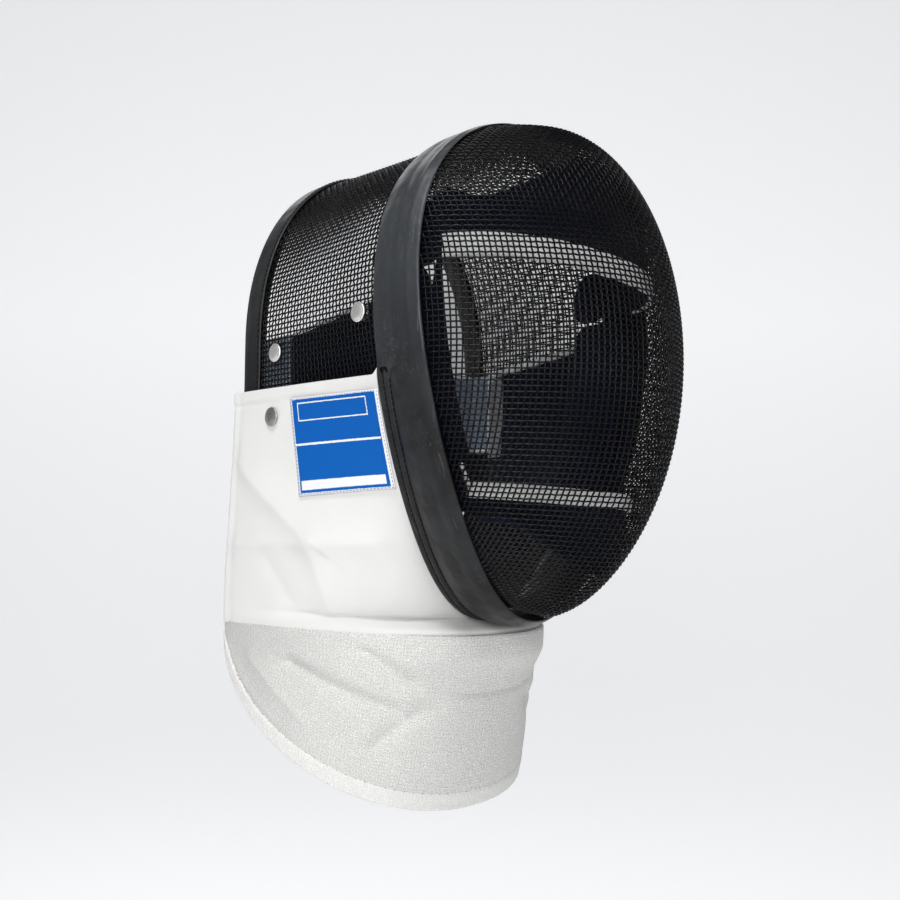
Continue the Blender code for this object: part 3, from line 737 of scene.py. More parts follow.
@dataclass(frozen=True)
class Vinyl(Finish):
    """Coated cloth: satin, finely grained, rubbed and dusty, with painted shade that darkens it
    low down.
    """

    dusty: float = 0.5
    glint: float = 0.25
    # the share of the colour that the painted shade leaves low down
    painted_shade_share: float = 0.06
    dust: Colour = (0.22, 0.22, 0.225)
    # the height from which the painted shade's ramp is measured
    painted_shade_base_z: float = -0.42

    def fill(self, graph: Graph, shader: Any) -> None:
        """Grain, rubbed patches, dust, scratches, and painted shade darkening it low down."""
        place = self.place(graph)
        wear = graph.group("wear", {"Vector": place, "Scale": 1.0})
        # Painted shade: the colour is full above z -0.10 and falls to a small share of it below z
        # -0.20.
        height = graph.math("ADD", graph.add("SeparateXYZ", {0: place}).outputs[2],
                            -self.painted_shade_base_z)
        low = tuple(value * self.painted_shade_share for value in self.colour)
        ground = graph.ramp(height, (0.22, low), (0.32, self.colour))
        soft = tuple(value * 1.25 + 0.004 for value in self.colour)
        colour = graph.blend(graph.math("MULTIPLY", wear.outputs["Rubbed"], 0.35), ground, soft)
        marks = graph.math("MAXIMUM", graph.math("MULTIPLY", wear.outputs["Dust"], 0.75),
                           graph.math("MULTIPLY", wear.outputs["Scratch"], 0.28))
        colour = graph.blend(graph.math("MULTIPLY", marks, self.dusty), colour, self.dust)
        self.link(graph, colour, shader, "Base Color")
        rough = graph.math("ADD", graph.math("MULTIPLY", wear.outputs["Rubbed"], 0.22), self.rough)
        rough = graph.math("ADD", rough, graph.math("MULTIPLY", marks, 0.25))
        self.link(graph, rough, shader, "Roughness")
        self.bump(graph, shader, graph.noise(place, 42.0, 2.0, 0.45), 0.0042, 0.8)
        pores = graph.add("TexVoronoi", {"Vector": place, "Scale": 1400.0}).outputs["Distance"]
        height = graph.math("ADD", graph.math("MULTIPLY", pores, 0.5), wear.outputs["Grain"])
        self.bump(graph, shader, height, 0.00005, 0.5)
        shader.inputs["Specular IOR Level"].default_value = self.glint


@dataclass(frozen=True)
class Cloth(Finish):
    """Closely woven matt cloth, read from the piece's UV map in metres."""

    pitch: float = 0.0006
    soil: float = 0.06
    relief: float = 0.00012
    sheen: float = 0.15

    def fill(self, graph: Graph, shader: Any) -> None:
        """Weave, soft mottle, painted shade in the weave's hollows and a little sheen."""
        uv, place = self.place(graph, uv=True), self.place(graph)
        weave = graph.group("weave", {"Vector": uv, "Pitch": self.pitch, "Fray": 0.00025})
        mottle = graph.ramp(graph.noise(place, 30.0, 5.0, 0.6), (0.3, 0.0), (0.75, 1.0))
        dark = tuple(value * (1 - self.soil) for value in self.colour)
        colour = graph.blend(mottle, self.colour, dark)
        # Painted shade: the colour falls to 86 % in the hollows of the weave.
        deep = graph.ramp(weave.outputs["Height"], (0.0, 0.86), (0.6, 1.0))
        self.link(graph, graph.blend(1.0, colour, deep, "MULTIPLY"), shader, "Base Color")
        fibre = graph.noise(place, 2600.0, 3.0, 0.7)
        height = graph.math("ADD", graph.math("MULTIPLY", weave.outputs["Height"], 0.8),
                            graph.math("MULTIPLY", fibre, 0.35))
        self.bump(graph, shader, height, self.relief, 0.7)
        shader.inputs["Sheen Weight"].default_value = self.sheen
        shader.inputs["Specular IOR Level"].default_value = 2 * self.sheen
        shader.inputs["Sheen Roughness"].default_value = 0.6


@dataclass(frozen=True)
class Lame(Finish):
    """Cloth woven with fine metal threads, a faint grid of heavier ones over it."""

    pitch: float = 0.0010
    grid: float = 0.0021
    contrast: float = 0.8

    def fill(self, graph: Graph, shader: Any) -> None:
        """Glinting threads, dark lines between them and uneven shine."""
        uv, place = self.place(graph, uv=True), self.place(graph)
        weave = graph.group("weave", {"Vector": uv, "Pitch": self.pitch, "Fray": 0.0010})
        grid = graph.group("weave", {"Vector": uv, "Pitch": self.grid, "Fray": 0.0014})
        stretched = graph.add("Mapping", {"Vector": uv, "Scale": (1600.0, 160.0, 1.0)})
        along = graph.noise(stretched.outputs[0], 1.0, 3.0, 0.6)
        turned = graph.add("Mapping", {"Vector": uv, "Scale": (160.0, 1600.0, 1.0)})
        across = graph.noise(turned.outputs[0], 1.0, 3.0, 0.6)
        streaks = graph.math("MAXIMUM", graph.ramp(along, (0.52, 0.0), (0.68, 1.0)),
                             graph.ramp(across, (0.52, 0.0), (0.68, 1.0)))
        broken = graph.ramp(graph.noise(place, 95.0, 3.0), (0.35, 0.25), (0.7, 1.0))
        lines = graph.ramp(grid.outputs["Height"], (0.0, 1.0), (0.26, 0.0))
        lines = graph.math("MULTIPLY", graph.math("MULTIPLY", lines, broken), 0.5 * self.contrast)
        bright = tuple(min(1.0, value * 1.22) for value in self.colour)
        dark = tuple(value * 0.42 for value in self.colour)
        colour = graph.blend(streaks, self.colour, bright)
        colour = graph.blend(lines, colour, dark)
        specks = graph.ramp(graph.noise(uv, 1300.0, 2.0, 0.7), (0.36, 0.42), (0.60, 1.0))
        colour = graph.blend(self.contrast, colour, specks, "MULTIPLY")
        self.link(graph, colour, shader, "Base Color")
        self.link(graph, graph.ramp(streaks, (0.0, self.rough + 0.16), (1.0, self.rough - 0.12)),
                  shader, "Roughness")
        self.link(graph, graph.ramp(streaks, (0.0, self.metal - 0.2), (1.0, self.metal + 0.25)),
                  shader, "Metallic")
        height = graph.math("ADD", weave.outputs["Height"], graph.math("MULTIPLY", streaks, 0.5))
        self.bump(graph, shader, height, 0.00022, 0.8)


@dataclass(frozen=True)
class Patch(Finish):
    """The woven patch: a blue ground, a pale selvedge, and plain ruled frames."""

    size: tuple[float, float] = (0.0755, 0.0570)
    pale: Colour = (0.80, 0.81, 0.82)

    def box(self, graph: Graph, parts: Any, low: tuple[float, float],
            high: tuple[float, float]) -> Any:
        """A mask that is 1 inside a rectangle of the patch.

        Args:
            graph: The material's graph.
            parts: The Separate node of the UV map.
            low: The lower corner as shares of the patch.
            high: The upper corner.

        Returns:
            The mask's socket.
        """
        masks = []
        for axis in (0, 1):
            value = parts.outputs[axis]
            masks.append(graph.math("GREATER_THAN", value, low[axis] * self.size[axis]))
            masks.append(graph.math("LESS_THAN", value, high[axis] * self.size[axis]))
        found = masks[0]
        for mask in masks[1:]:
            found = graph.math("MULTIPLY", found, mask)
        return found

    def frame(self, graph: Graph, parts: Any, low: tuple[float, float],
              high: tuple[float, float], line: float) -> Any:
        """A ruled rectangle with a line of this width in metres."""
        wide, tall = line / self.size[0], line / self.size[1]
        inner = self.box(graph, parts, (low[0] + wide, low[1] + tall),
                         (high[0] - wide, high[1] - tall))
        return graph.math("SUBTRACT", self.box(graph, parts, low, high), inner, True)

    def fill(self, graph: Graph, shader: Any) -> None:
        """The ground, the ruled lines and the weave."""
        uv = self.place(graph, uv=True)
        parts = graph.add("SeparateXYZ", {0: graph.frayed(uv, 900.0, 0.0006)})
        ground = self.box(graph, parts, (0.025, 0.020), (0.965, 0.975))
        lines = self.frame(graph, parts, (0.085, 0.055), (0.865, 0.245), 0.0007)
        rule = self.box(graph, parts, (0.025, 0.470), (0.955, 0.492))
        bar = self.box(graph, parts, (0.045, 0.850), (0.935, 0.945))
        pale = graph.math("MAXIMUM", graph.math("MAXIMUM", lines, rule), bar)
        pale = graph.math("MAXIMUM", pale, graph.math("SUBTRACT", 1.0, ground))
        shade = graph.ramp(graph.noise(uv, 3000.0, 2.0), (0.3, 0.82), (0.7, 1.0))
        colour = graph.blend(pale, self.colour, self.pale)
        self.link(graph, graph.blend(1.0, colour, shade, "MULTIPLY"), shader, "Base Color")
        weave = graph.group("weave", {"Vector": uv, "Pitch": 0.0005, "Fray": 0.0001})
        height = graph.math("ADD", weave.outputs["Height"], graph.math("MULTIPLY", pale, 0.8))
        self.bump(graph, shader, height, 0.00010, 0.7)
        shader.inputs["Specular IOR Level"].default_value = 0.15


@dataclass(frozen=True)
class Elastic(Finish):
    """Ribbed elastic, with a pale line near each edge."""

    width: float = 0.059
    rib: float = 0.0016
    cross: float = 0.0011
    edge: Colour = (0.62, 0.64, 0.66)

    def fill(self, graph: Graph, shader: Any) -> None:
        """Ribs along the band, cross threads and the edge lines."""
        uv = self.place(graph, uv=True)
        parts = graph.add("SeparateXYZ", {0: uv})
        rib = graph.math("SINE", graph.math("MULTIPLY", parts.outputs[1], math.tau / self.rib))
        cross = graph.math("SINE", graph.math("MULTIPLY", parts.outputs[0], math.tau / self.cross))
        height = graph.math("ADD", rib, graph.math("MULTIPLY", cross, 0.5))
        middle = graph.math("ABSOLUTE", graph.math("SUBTRACT", parts.outputs[1], self.width / 2))
        line = graph.ramp(graph.math("DIVIDE", middle, self.width / 2), (0.90, 0.0), (0.92, 1.0),
                          (0.955, 1.0), (0.97, 0.0))
        shade = graph.ramp(graph.math("ADD", graph.math("MULTIPLY", rib, 0.5), 0.5),
                           (0.0, 0.72), (1.0, 1.0))
        colour = graph.blend(1.0, self.colour, shade, "MULTIPLY")
        self.link(graph, graph.blend(line, colour, self.edge), shader, "Base Color")
        self.bump(graph, shader, graph.math("ADD", graph.math("MULTIPLY", height, 0.3), 0.5),
                  0.0003, 0.7)


@dataclass(frozen=True)
class Nickel(Finish):
    """Plated metal, dulled and finely scratched."""

    def fill(self, graph: Graph, shader: Any) -> None:
        """Uneven shine, dark specks and scratches."""
        place = self.place(graph)
        wear = graph.group("wear", {"Vector": place, "Scale": 6.0})
        dark = tuple(value * 0.55 for value in self.colour)
        self.link(graph, graph.blend(wear.outputs["Rubbed"], self.colour, dark), shader,
                  "Base Color")
        self.link(graph, graph.ramp(wear.outputs["Rubbed"], (0.0, self.rough - 0.06),
                                    (1.0, self.rough + 0.2)), shader, "Roughness")
        height = graph.math("ADD", wear.outputs["Scratch"], wear.outputs["Grain"])
        self.bump(graph, shader, height, 0.00003, 0.6)


@dataclass(frozen=True)
class Thread(Finish):
    """Twisted sewing thread."""

    def fill(self, graph: Graph, shader: Any) -> None:
        """Fine twist."""
        twist = graph.add("TexWave", {"Vector": self.place(graph), "Scale": 900.0,
                                      "Distortion": 2.0}, bands_direction="DIAGONAL")
        shade = graph.ramp(twist.outputs["Fac"], (0.0, 0.7), (1.0, 1.0))
        self.link(graph, graph.blend(1.0, self.colour, shade, "MULTIPLY"), shader, "Base Color")
        self.bump(graph, shader, twist.outputs["Fac"], 0.0001, 0.6)
        shader.inputs["Specular IOR Level"].default_value = 0.1


@dataclass(frozen=True)
class Paper(Finish):
    """The pale sweep, with a soft shadow painted into it straight behind the mask."""

    glow: float = 0.575
    # how dark the painted shadow goes, as a share of the paper's colour
    shade: float = 0.34
    # the painted shadow's middle on the sweep behind the mask, and its reach
    centre: tuple[float, float, float] = (2.66, 2.43, 0.33)
    reach: tuple[float, float, float] = (0.84, 0.84, 1.05)

    def fill(self, graph: Graph, shader: Any) -> None:
        """The painted shadow, and a very faint tooth."""
        place = self.place(graph)
        # Painted shadow: the colour and the glow both darken towards the middle, fully within 0.35
        # of the reach.
        away = graph.add("VectorMath", {0: place, 1: self.centre}, operation="SUBTRACT")
        away = graph.add("VectorMath", {0: away.outputs[0], 1: self.reach}, operation="DIVIDE")
        away = graph.add("VectorMath", {0: away.outputs[0]}, operation="LENGTH").outputs["Value"]
        painted_shadow_colour = tuple(value * self.shade for value in self.colour)
        colour = graph.ramp(away, (0.35, painted_shadow_colour), (1.0, self.colour))
        self.link(graph, colour, shader, "Base Color")
        self.link(graph, colour, shader, "Emission Color")
        self.bump(graph, shader, graph.noise(place, 300.0, 3.0), 0.0001, 0.1)
        shader.inputs["Emission Strength"].default_value = self.glow


WIRE = WirePaint("wire", (0.0025, 0.0025, 0.003), 0.25)
# Both vinyls darken low down as painted shade, the rear channel less.
VINYL = Vinyl("vinyl", (0.034, 0.037, 0.041), 0.34)
CHANNEL = Vinyl("channel", (0.020, 0.0205, 0.021), 0.40, dusty=0.3, painted_shade_share=0.2)
WHITE = Cloth("white_cloth", (0.70, 0.695, 0.68), 0.9)
SILVER = Lame("silver_cloth", (0.72, 0.715, 0.69), 0.48, 0.30)
SILVER_HEM = Lame("silver_hem", (0.78, 0.775, 0.75), 0.52, 0.22, contrast=0.5)
LABEL = Patch("label", (0.000, 0.100, 0.42), 0.7)
NAVY = Cloth("navy_cloth", (0.004, 0.006, 0.018), 0.9, pitch=0.0011, soil=0.3, relief=0.0003,
             sheen=0.02)
LINING = Cloth("lining", (0.004, 0.0045, 0.007), 0.9, pitch=0.0011, soil=0.3, relief=0.0003,
               sheen=0.02)
GREY_TAPE = Cloth("grey_tape", (0.20, 0.21, 0.22), 0.85, pitch=0.0013, relief=0.0003)
TAPE = Cloth("white_tape", (0.93, 0.93, 0.92), 0.85, pitch=0.0013, relief=0.0003)
PIPING = Cloth("piping", (0.85, 0.86, 0.87), 0.8, pitch=0.0012, relief=0.0002)
ELASTIC = Elastic("elastic", (0.22, 0.26, 0.34), 0.75)
NICKEL = Nickel("nickel", (0.90, 0.885, 0.85), 0.42, 0.85)
DULL_NICKEL = Nickel("dull_nickel", (0.41, 0.40, 0.38), 0.42, 0.9)
BLACK_THREAD = Thread("black_thread", (0.0015, 0.0015, 0.002), 0.7)
GREY_THREAD = Thread("grey_thread", (0.36, 0.36, 0.35), 0.6)
LABEL_THREAD = Thread("label_thread", (0.10, 0.22, 0.50), 0.6)
# The sweep's paper, with its painted shadow behind the mask.
PAPER = Paper("paper", (0.82, 0.825, 0.835), 0.9)


# ---- The wire


@dataclass
class WireFace:
    """The woven dome. Both sets of wires keep their pitch along the surface."""

    form: MaskForm = FORM
    pitch: float = 0.00315
    press_stretch: float = 0.13
    press_reach: float = 0.045
    radius: float = 0.00053
    crimp: float = 0.00052
    chin_bow: float = 0.0070
    collar: float = 0.0050
    end_margin: float = 0.3
    side_margin: float = 0.35
    probe: float = 0.0004

    def levels(self) -> list[float]:
        """The heights of the cross wires on the middle line, a pitch apart along the dome."""
        half = self.form.rim_height / 2
        z = self.form.rim_mid_z + np.linspace(-half, half, 4001)[1:-1]
        y = self.form.dome_y(np.zeros_like(z), z)
        reach = np.concatenate([[0.0], np.cumsum(np.hypot(np.diff(y), np.diff(z)))])
        reach -= np.interp(self.form.rim_mid_z, z, reach)
        low = math.ceil(reach[0] / self.pitch + self.end_margin)
        high = math.floor(reach[-1] / self.pitch - self.end_margin)
        return [float(np.interp(k * self.pitch, reach, z)) for k in range(low, high + 1)]

    def cross_line(self, z0: float) -> tuple[np.ndarray, np.ndarray]:
        """Half of a cross wire's line, from the middle to the rim on the left.

        Args:
            z0: Its height on the middle line.

        Returns:
            The points, and the count of upright wires passed at each.
        """
        u = 1 - (1 - np.linspace(0.0, 1.0, 400)) ** 1.5
        bow = self.chin_bow * clamp(-float(self.form.height_share(z0)))
        z = z0 + bow * u**2
        x = u * self.form.bare_half_width(z)
        points = np.stack([x, self.form.dome_y(x, z), z], -1)
        step = np.linalg.norm(np.diff(points, axis=0), axis=1)
        reach = np.concatenate([[0.0], np.cumsum(step)])
        local = self.pitch * (1 + self.press_stretch * np.exp(-(reach / self.press_reach) ** 2))
        passed = np.concatenate([[0.0], np.cumsum(step / ((local[1:] + local[:-1]) / 2))])
        return points, passed

    def outward(self, point: np.ndarray) -> np.ndarray:
        """The direction off the dome at a point of it."""
        x, z, step = float(point[0]), float(point[2]), self.probe
        inside = 0.9985 * float(self.form.bare_half_width(z)) - step
        x = max(-inside, min(inside, x))
        across = self.form.dome_y(x + step, z) - self.form.dome_y(x - step, z)
        upward = self.form.dome_y(x, z + step) - self.form.dome_y(x, z - step)
        normal = np.array([across, -2 * step, upward])
        return normal / np.linalg.norm(normal)

    def lay(self, point: np.ndarray, rise: float) -> Vector:
        """A wire's centre where it crosses: the middle of the wall, plus or minus the crimp."""
        return Vector(point + self.outward(point) * (rise - self.form.wire_wall / 2))

    def rim_end(self, point: np.ndarray) -> list[Vector]:
        """A wire's last two points, at the rim and back along the collar under the trim."""
        end = self.lay(point, 0.0)
        return [end, end + Vector((0.0, self.collar, 0.0))]

    def build(self) -> None:
        """Both sets of wires, a mesh each."""
        levels = self.levels()
        half_lines = [self.cross_line(z) for z in levels]
        mirrored = np.array([-1.0, 1.0, 1.0])
        crossings: dict[tuple[int, int], np.ndarray] = {}
        counts = []
        for k, (points, passed) in enumerate(half_lines):
            count = math.floor(passed[-1] - self.side_margin)
            counts.append(passed[-1])
            for j in range(count + 1):
                at = np.array([np.interp(j, passed, points[:, axis]) for axis in range(3)])
                crossings[k, j] = at
                crossings[k, -j] = at * mirrored
        cross_wires, upright_wires = [], []
        for k, (points, passed) in enumerate(half_lines):
            count = max(j for level, j in crossings if level == k)
            wire = [self.lay(crossings[k, j], self.crimp if (j + k) % 2 else -self.crimp)
                    for j in range(-count, count + 1)]
            end = self.rim_end(points[-1])
            start = self.rim_end(points[-1] * mirrored)
            cross_wires.append([*reversed(start), *wire, *end])
        most = max(j for _, j in crossings)
        for j in range(-most, most + 1):
            run = [k for k in range(len(levels)) if (k, j) in crossings]
            wire = [self.lay(crossings[k, j], -self.crimp if (j + k) % 2 else self.crimp)
                    for k in run]
            ends = [self.rim_end(self.meeting(levels, counts, run[at], step, j))
                    for at, step in ((0, -1), (-1, 1))]
            upright_wires.append([*reversed(ends[0]), *wire, *ends[1]])
        for name, wires in (("dome_cross_wires", cross_wires),
                            ("dome_upright_wires", upright_wires)):
            piece(tubes(name, wires, self.radius, WIRE.material()), "black_wire", "front_mesh")

    def meeting(self, levels: list[float], counts: list[float], k: int, step: int,
                j: int) -> np.ndarray:
        """Where an upright wire meets the rim past its last crossing.

        Args:
            levels: The heights of the cross wires.
            counts: How many pitches each has from the middle to the rim.
            k: The last level that the wire crosses.
            step: 1 upwards and -1 downwards.
            j: The wire's place from the middle.

        Returns:
            The point on the rim.
        """
        after = k + step
        if 0 <= after < len(levels):
            share = clamp((counts[k] - abs(j)) / max(counts[k] - counts[after], 1e-6))
            z0 = mix(levels[k], levels[after], share)
        else:
            edge = self.form.rim_mid_z + step * self.form.rim_height / 2
            z0 = mix(levels[k], edge, clamp((counts[k] - abs(j)) / max(counts[k], 1e-6)) * 0.97)
        point = self.cross_line(z0)[0][-1]
        return point * np.array([math.copysign(1.0, j), 1.0, 1.0])


@dataclass
class WireBarrel:
    """The woven barrel over the crown and down both sides."""

    form: MaskForm = FORM
    pitch: float = 0.00315
    radius: float = 0.00053
    crimp: float = 0.00052
    start_y: float = -0.0480
    end_inset: float = 0.0006
    probe: float = 0.001

    def build(self) -> None:
        """The hoops and the lengthwise wires, a mesh each."""
        half = round(length_of(self.form.arch_profile(60)) / self.pitch)
        fronts, rears = self.form.front_profile(half + 1), self.form.arch_profile(half + 1)
        count = int((self.form.side_end_y - self.start_y) / self.pitch)
        ys = [self.form.side_end_y - self.end_inset - k * self.pitch for k in range(count + 1)]

        def bare(i: int, y: float) -> Vector:
            """The wall's outer face at a lengthwise wire and a depth."""
            point = self.form.side_point(fronts[abs(i)], rears[abs(i)], y)
            return Vector((math.copysign(point.x, i), point.y, point.z))

        def lay(i: int, y: float, rise: float) -> Vector:
            """A wire's centre there, raised or sunk by the crimp."""
            low, high = max(i - 1, -half), min(i + 1, half)
            around = bare(high, y) - bare(low, y)
            along = bare(i, y + self.probe) - bare(i, y - self.probe)
            outward = around.cross(along).normalized()
            if outward.dot(bare(i, y) - Vector((0.0, y, self.form.rim_mid_z))) < 0:
                outward = -outward
            return bare(i, y) + outward * (rise - self.form.wire_wall / 2)

        hoops = [[lay(i, y, self.crimp if (i + k) % 2 else -self.crimp)
                  for i in range(-half, half + 1)] for k, y in enumerate(ys)]
        lengths = [[lay(i, y, -self.crimp if (i + k) % 2 else self.crimp)
                    for k, y in enumerate(ys)] for i in range(-half, half + 1)]
        for name, wires in (("barrel_hoop_wires", hoops), ("barrel_length_wires", lengths)):
            piece(tubes(name, wires, self.radius, WIRE.material()), "black_wire", "side_mesh")


# ---- The trims


@dataclass
class RimTrim:
    """The padded band over the joint of the dome and the barrel."""

    form: MaskForm = FORM
    sections: int = 220
    margin_top_z: float = -0.1490
    crown_flatter: float = 0.70
    flange: float = 0.0118
    lap: float = 0.0016
    seam_insets: tuple[float, float] = (0.0040, 0.0090)
    thread: float = 0.00060
    face_start: float = 0.0012
    margin_run: float = 0.0080
    sway: float = 0.10
    sway_scale: float = 7.0
    edge_notch: float = 0.0008
    lip_points: int = 3
    padded_profile: tuple[tuple[float, float], ...] = (
        (0.10, 0.0040), (0.14, 0.0048), (0.17, 0.0049), (0.21, 0.0041), (0.27, 0.0043),
        (0.33, 0.0046), (0.39, 0.0046), (0.45, 0.0043), (0.51, 0.0037), (0.57, 0.0043),
        (0.63, 0.0046), (0.70, 0.0046), (0.76, 0.0043), (0.82, 0.0039), (0.88, 0.0033),
        (0.95, 0.0028),
    )
    sewn_profile: tuple[tuple[float, float], ...] = (
        (0.10, 0.0043), (0.18, 0.0052), (0.26, 0.0053), (0.40, 0.0048), (0.56, 0.0051),
        (0.72, 0.0052), (0.86, 0.0044),
    )

    def section(self, angle: float) -> list[tuple[float, float]]:
        """(behind the rim, out from its outline) round the band's section at an angle.

        Args:
            angle: Where round the rim.

        Returns:
            The section's points: the lip, the outer face, then the inside.
        """
        _, z = self.form.rim_outline(angle)
        front = float(self.form.rim_y(z))
        length = self.form.trim_rear_y(z) - front
        inner, gap = self.form.trim_inner, self.form.gap
        step = self.form.side_start - 2 * gap
        swell = 1 - self.crown_flatter * ease((math.sin(angle) - 0.45) / 0.55)
        here = Vector((math.cos(angle), math.sin(angle), 0.0))
        high = swell * (1 + self.sway * noise.noise(here * self.sway_scale))
        notch = self.edge_notch
        padded = ((self.face_start, 0.0030),
                  *((share * length, rise) for share, rise in self.padded_profile),
                  (length - notch, 0.0023), (length, 0.0015))
        end = length + self.lap
        roll = length - self.flange
        first, second = (length - inset for inset in reversed(self.seam_insets))
        sewn = ((self.face_start, 0.0032),
                *((share * roll, rise) for share, rise in self.sewn_profile), (roll, 0.0032),
                (first - notch, 0.0029), (first, 0.0017), (first + notch, 0.0031),
                (0.5 * (first + second), 0.0033), (second - notch, 0.0030), (second, 0.0017),
                (second + notch, 0.0030), (end - 0.0016, 0.0027), (end - 0.0005, 0.0022),
                (end, 0.0016))
        share = ease((self.margin_top_z - z) / self.margin_run)
        outer = [(mix(a, c, share), mix(b * high, d, share))
                 for (a, b), (c, d) in zip(padded, sewn)]
        lip = ((-0.0007, 0.0004), (-0.0011, 0.0012 * swell), (-0.0006, 0.0022 * swell))
        under = mix(inner + 0.0004, 0.0013, share)
        inside = ((mix(length, end - 0.0004, share), under), (length - 0.0005, inner),
                  (0.5 * length + 0.004, inner), (step, inner), (step - gap, gap))
        return [*lip, *outer, *inside]

    def point(self, angle: float, back: float, out: float) -> Vector:
        """A point by its angle, its place behind the rim and its distance off the outline."""
        _, z = self.form.rim_outline(angle)
        front = float(self.form.rim_y(z))
        x, z = self.form.rim_outline(angle, out)
        return Vector((x, front + back, z))

    def build(self) -> None:
        """The band, and the twin seams down both sides of the bib."""
        profiles = [self.section(math.tau * k / self.sections) for k in range(self.sections)]
        count = len(profiles[0])

        def place(around: float, across: float) -> Vector:
            """The band's point at shares around it and across its section."""
            k = round(around * self.sections) % self.sections
            back, out = profiles[k][round(across * count) % count]
            return self.point(math.tau * k / self.sections, back, out)

        bm = shaped_grid(self.sections, count, place, (0.84, 0.09), joined=True)
        band = to_object("rim_band", bm, VINYL.material())
        soften(band)
        piece(band, "black_vinyl", "rim_trim")
        piece(self.seams(), "black_vinyl")

    def seams(self) -> bpy.types.Object:
        """Two lines of stitches on the sewn margin, joined at the bib's corner."""
        start = math.asin(float(self.form.height_share(self.margin_top_z - 0.0040)))
        lines = []
        for side in Side:
            tops = []
            for inset in self.seam_insets:
                path = [self.on_band(side, mix(start, -math.pi / 2, k / 180), inset)
                        for k in range(181)]
                lines += stitches(path, self.away, space=0.0005)
                tops.append(path[0])
            lines += stitches(tops, self.away, stitch=0.0022, space=0.0004)
        return tubes("rim_band_seams", lines, self.thread, BLACK_THREAD.material(), caps=True)

    @staticmethod
    def away(point: Vector) -> Vector:
        """The direction off the band, square to the mask's long axis."""
        return Vector((point.x, 0.0, point.z + 0.15)).normalized()

    def on_band(self, side: Side, angle: float, inset: float) -> Vector:
        """A point on the band's face, this far in front of its rear edge."""
        turned = math.pi - angle if side is Side.RIGHT else angle
        _, z = self.form.rim_outline(turned)
        back = self.form.trim_rear_y(z) - float(self.form.rim_y(z)) - inset
        return self.point(turned, back, self.height(turned, back) + 0.0003)

    def height(self, angle: float, back: float) -> float:
        """How far the band's outer face stands off the outline at a place behind the rim."""
        first, faces = self.lip_points, len(self.padded_profile) + 3
        outer = self.section(angle)[first:first + faces]
        for (a, low), (b, high) in zip(outer, outer[1:]):
            if a <= back <= b:
                return mix(low, high, (back - a) / max(b - a, 1e-9))
        return outer[-1][1]


@dataclass
class RearTrim:
    """The flat channel that binds the barrel's rear edge."""

    form: MaskForm = FORM
    sections: int = 120

    def build(self) -> None:
        """The channel and its line of stitches."""
        form = self.form
        half = form.arch_profile(self.sections // 2 + 1)
        points = [Vector((-p.x, p.y)) for p in half[:0:-1]] + half
        start, slot = form.rear_y - form.channel_width, form.side_end_y + form.gap
        outer = form.gap + form.channel_wall
        inner = -form.wire_wall - form.gap
        face = inner - form.channel_wall
        profile = ((form.gap, start), (outer - 0.0004, start), (outer, start + 0.0006),
                   (outer + 0.0002, start + 0.0050), (outer, start + 0.0110),
                   (outer, form.rear_y - 0.0012), (outer - 0.0006, form.rear_y - 0.0003),
                   (0.5 * (outer + face), form.rear_y), (face + 0.0006, form.rear_y - 0.0003),
                   (face, form.rear_y - 0.0012), (face, start), (inner, start),
                   (inner, slot), (form.gap, slot))
        count, last = len(profile), len(points) - 1

        def outward(k: int) -> Vector:
            """The direction off the channel at one of its stations."""
            if k in (0, last):
                return Vector((math.copysign(1.0, points[k].x), 0.0))
            along = (points[k + 1] - points[k - 1]).normalized()
            return Vector((-along.y, along.x))

        def place(around: float, across: float) -> Vector:
            """The channel's point at shares around it and across its section."""
            k = round(around * last)
            out, y = profile[round(across * count) % count]
            moved = points[k] + outward(k) * out
            return Vector((moved.x, y, moved.y))

        bm = shaped_grid(last, count, place, (0.5, 0.05), joined=True)
        bmesh.ops.holes_fill(bm, edges=[e for e in bm.edges if e.is_boundary], sides=0)
        bmesh.ops.recalc_face_normals(bm, faces=bm.faces)
        piece(to_object("rear_channel", bm, CHANNEL.material()), "black_vinyl", "rear_trim")
        path = []
        for k in range(last + 1):
            moved = points[k] + outward(k) * (outer + 0.0002)
            path.append(Vector((moved.x, start + 0.0016, moved.y)))
        lines = stitches(path, lambda p: Vector((p.x, 0.0, p.z + 0.12)).normalized(), lift=0.0002)
        thread = tubes("rear_channel_seam", lines, 0.0003, BLACK_THREAD.material(), 0, caps=True)
        piece(thread, "black_vinyl")


# ---- The bib


@dataclass(frozen=True)
class Fold:
    """A crease in the bib, between two points given by share forward and height.

    A positive depth presses the cloth in, and a negative one lifts it to a ridge. The widths are
    those of its slopes to the left and to the right of the way from start to end, seen from
    outside with the bib's rear edge on the left.
    """

    start: tuple[float, float]
    end: tuple[float, float]
    depth: float
    widths: tuple[float, float]


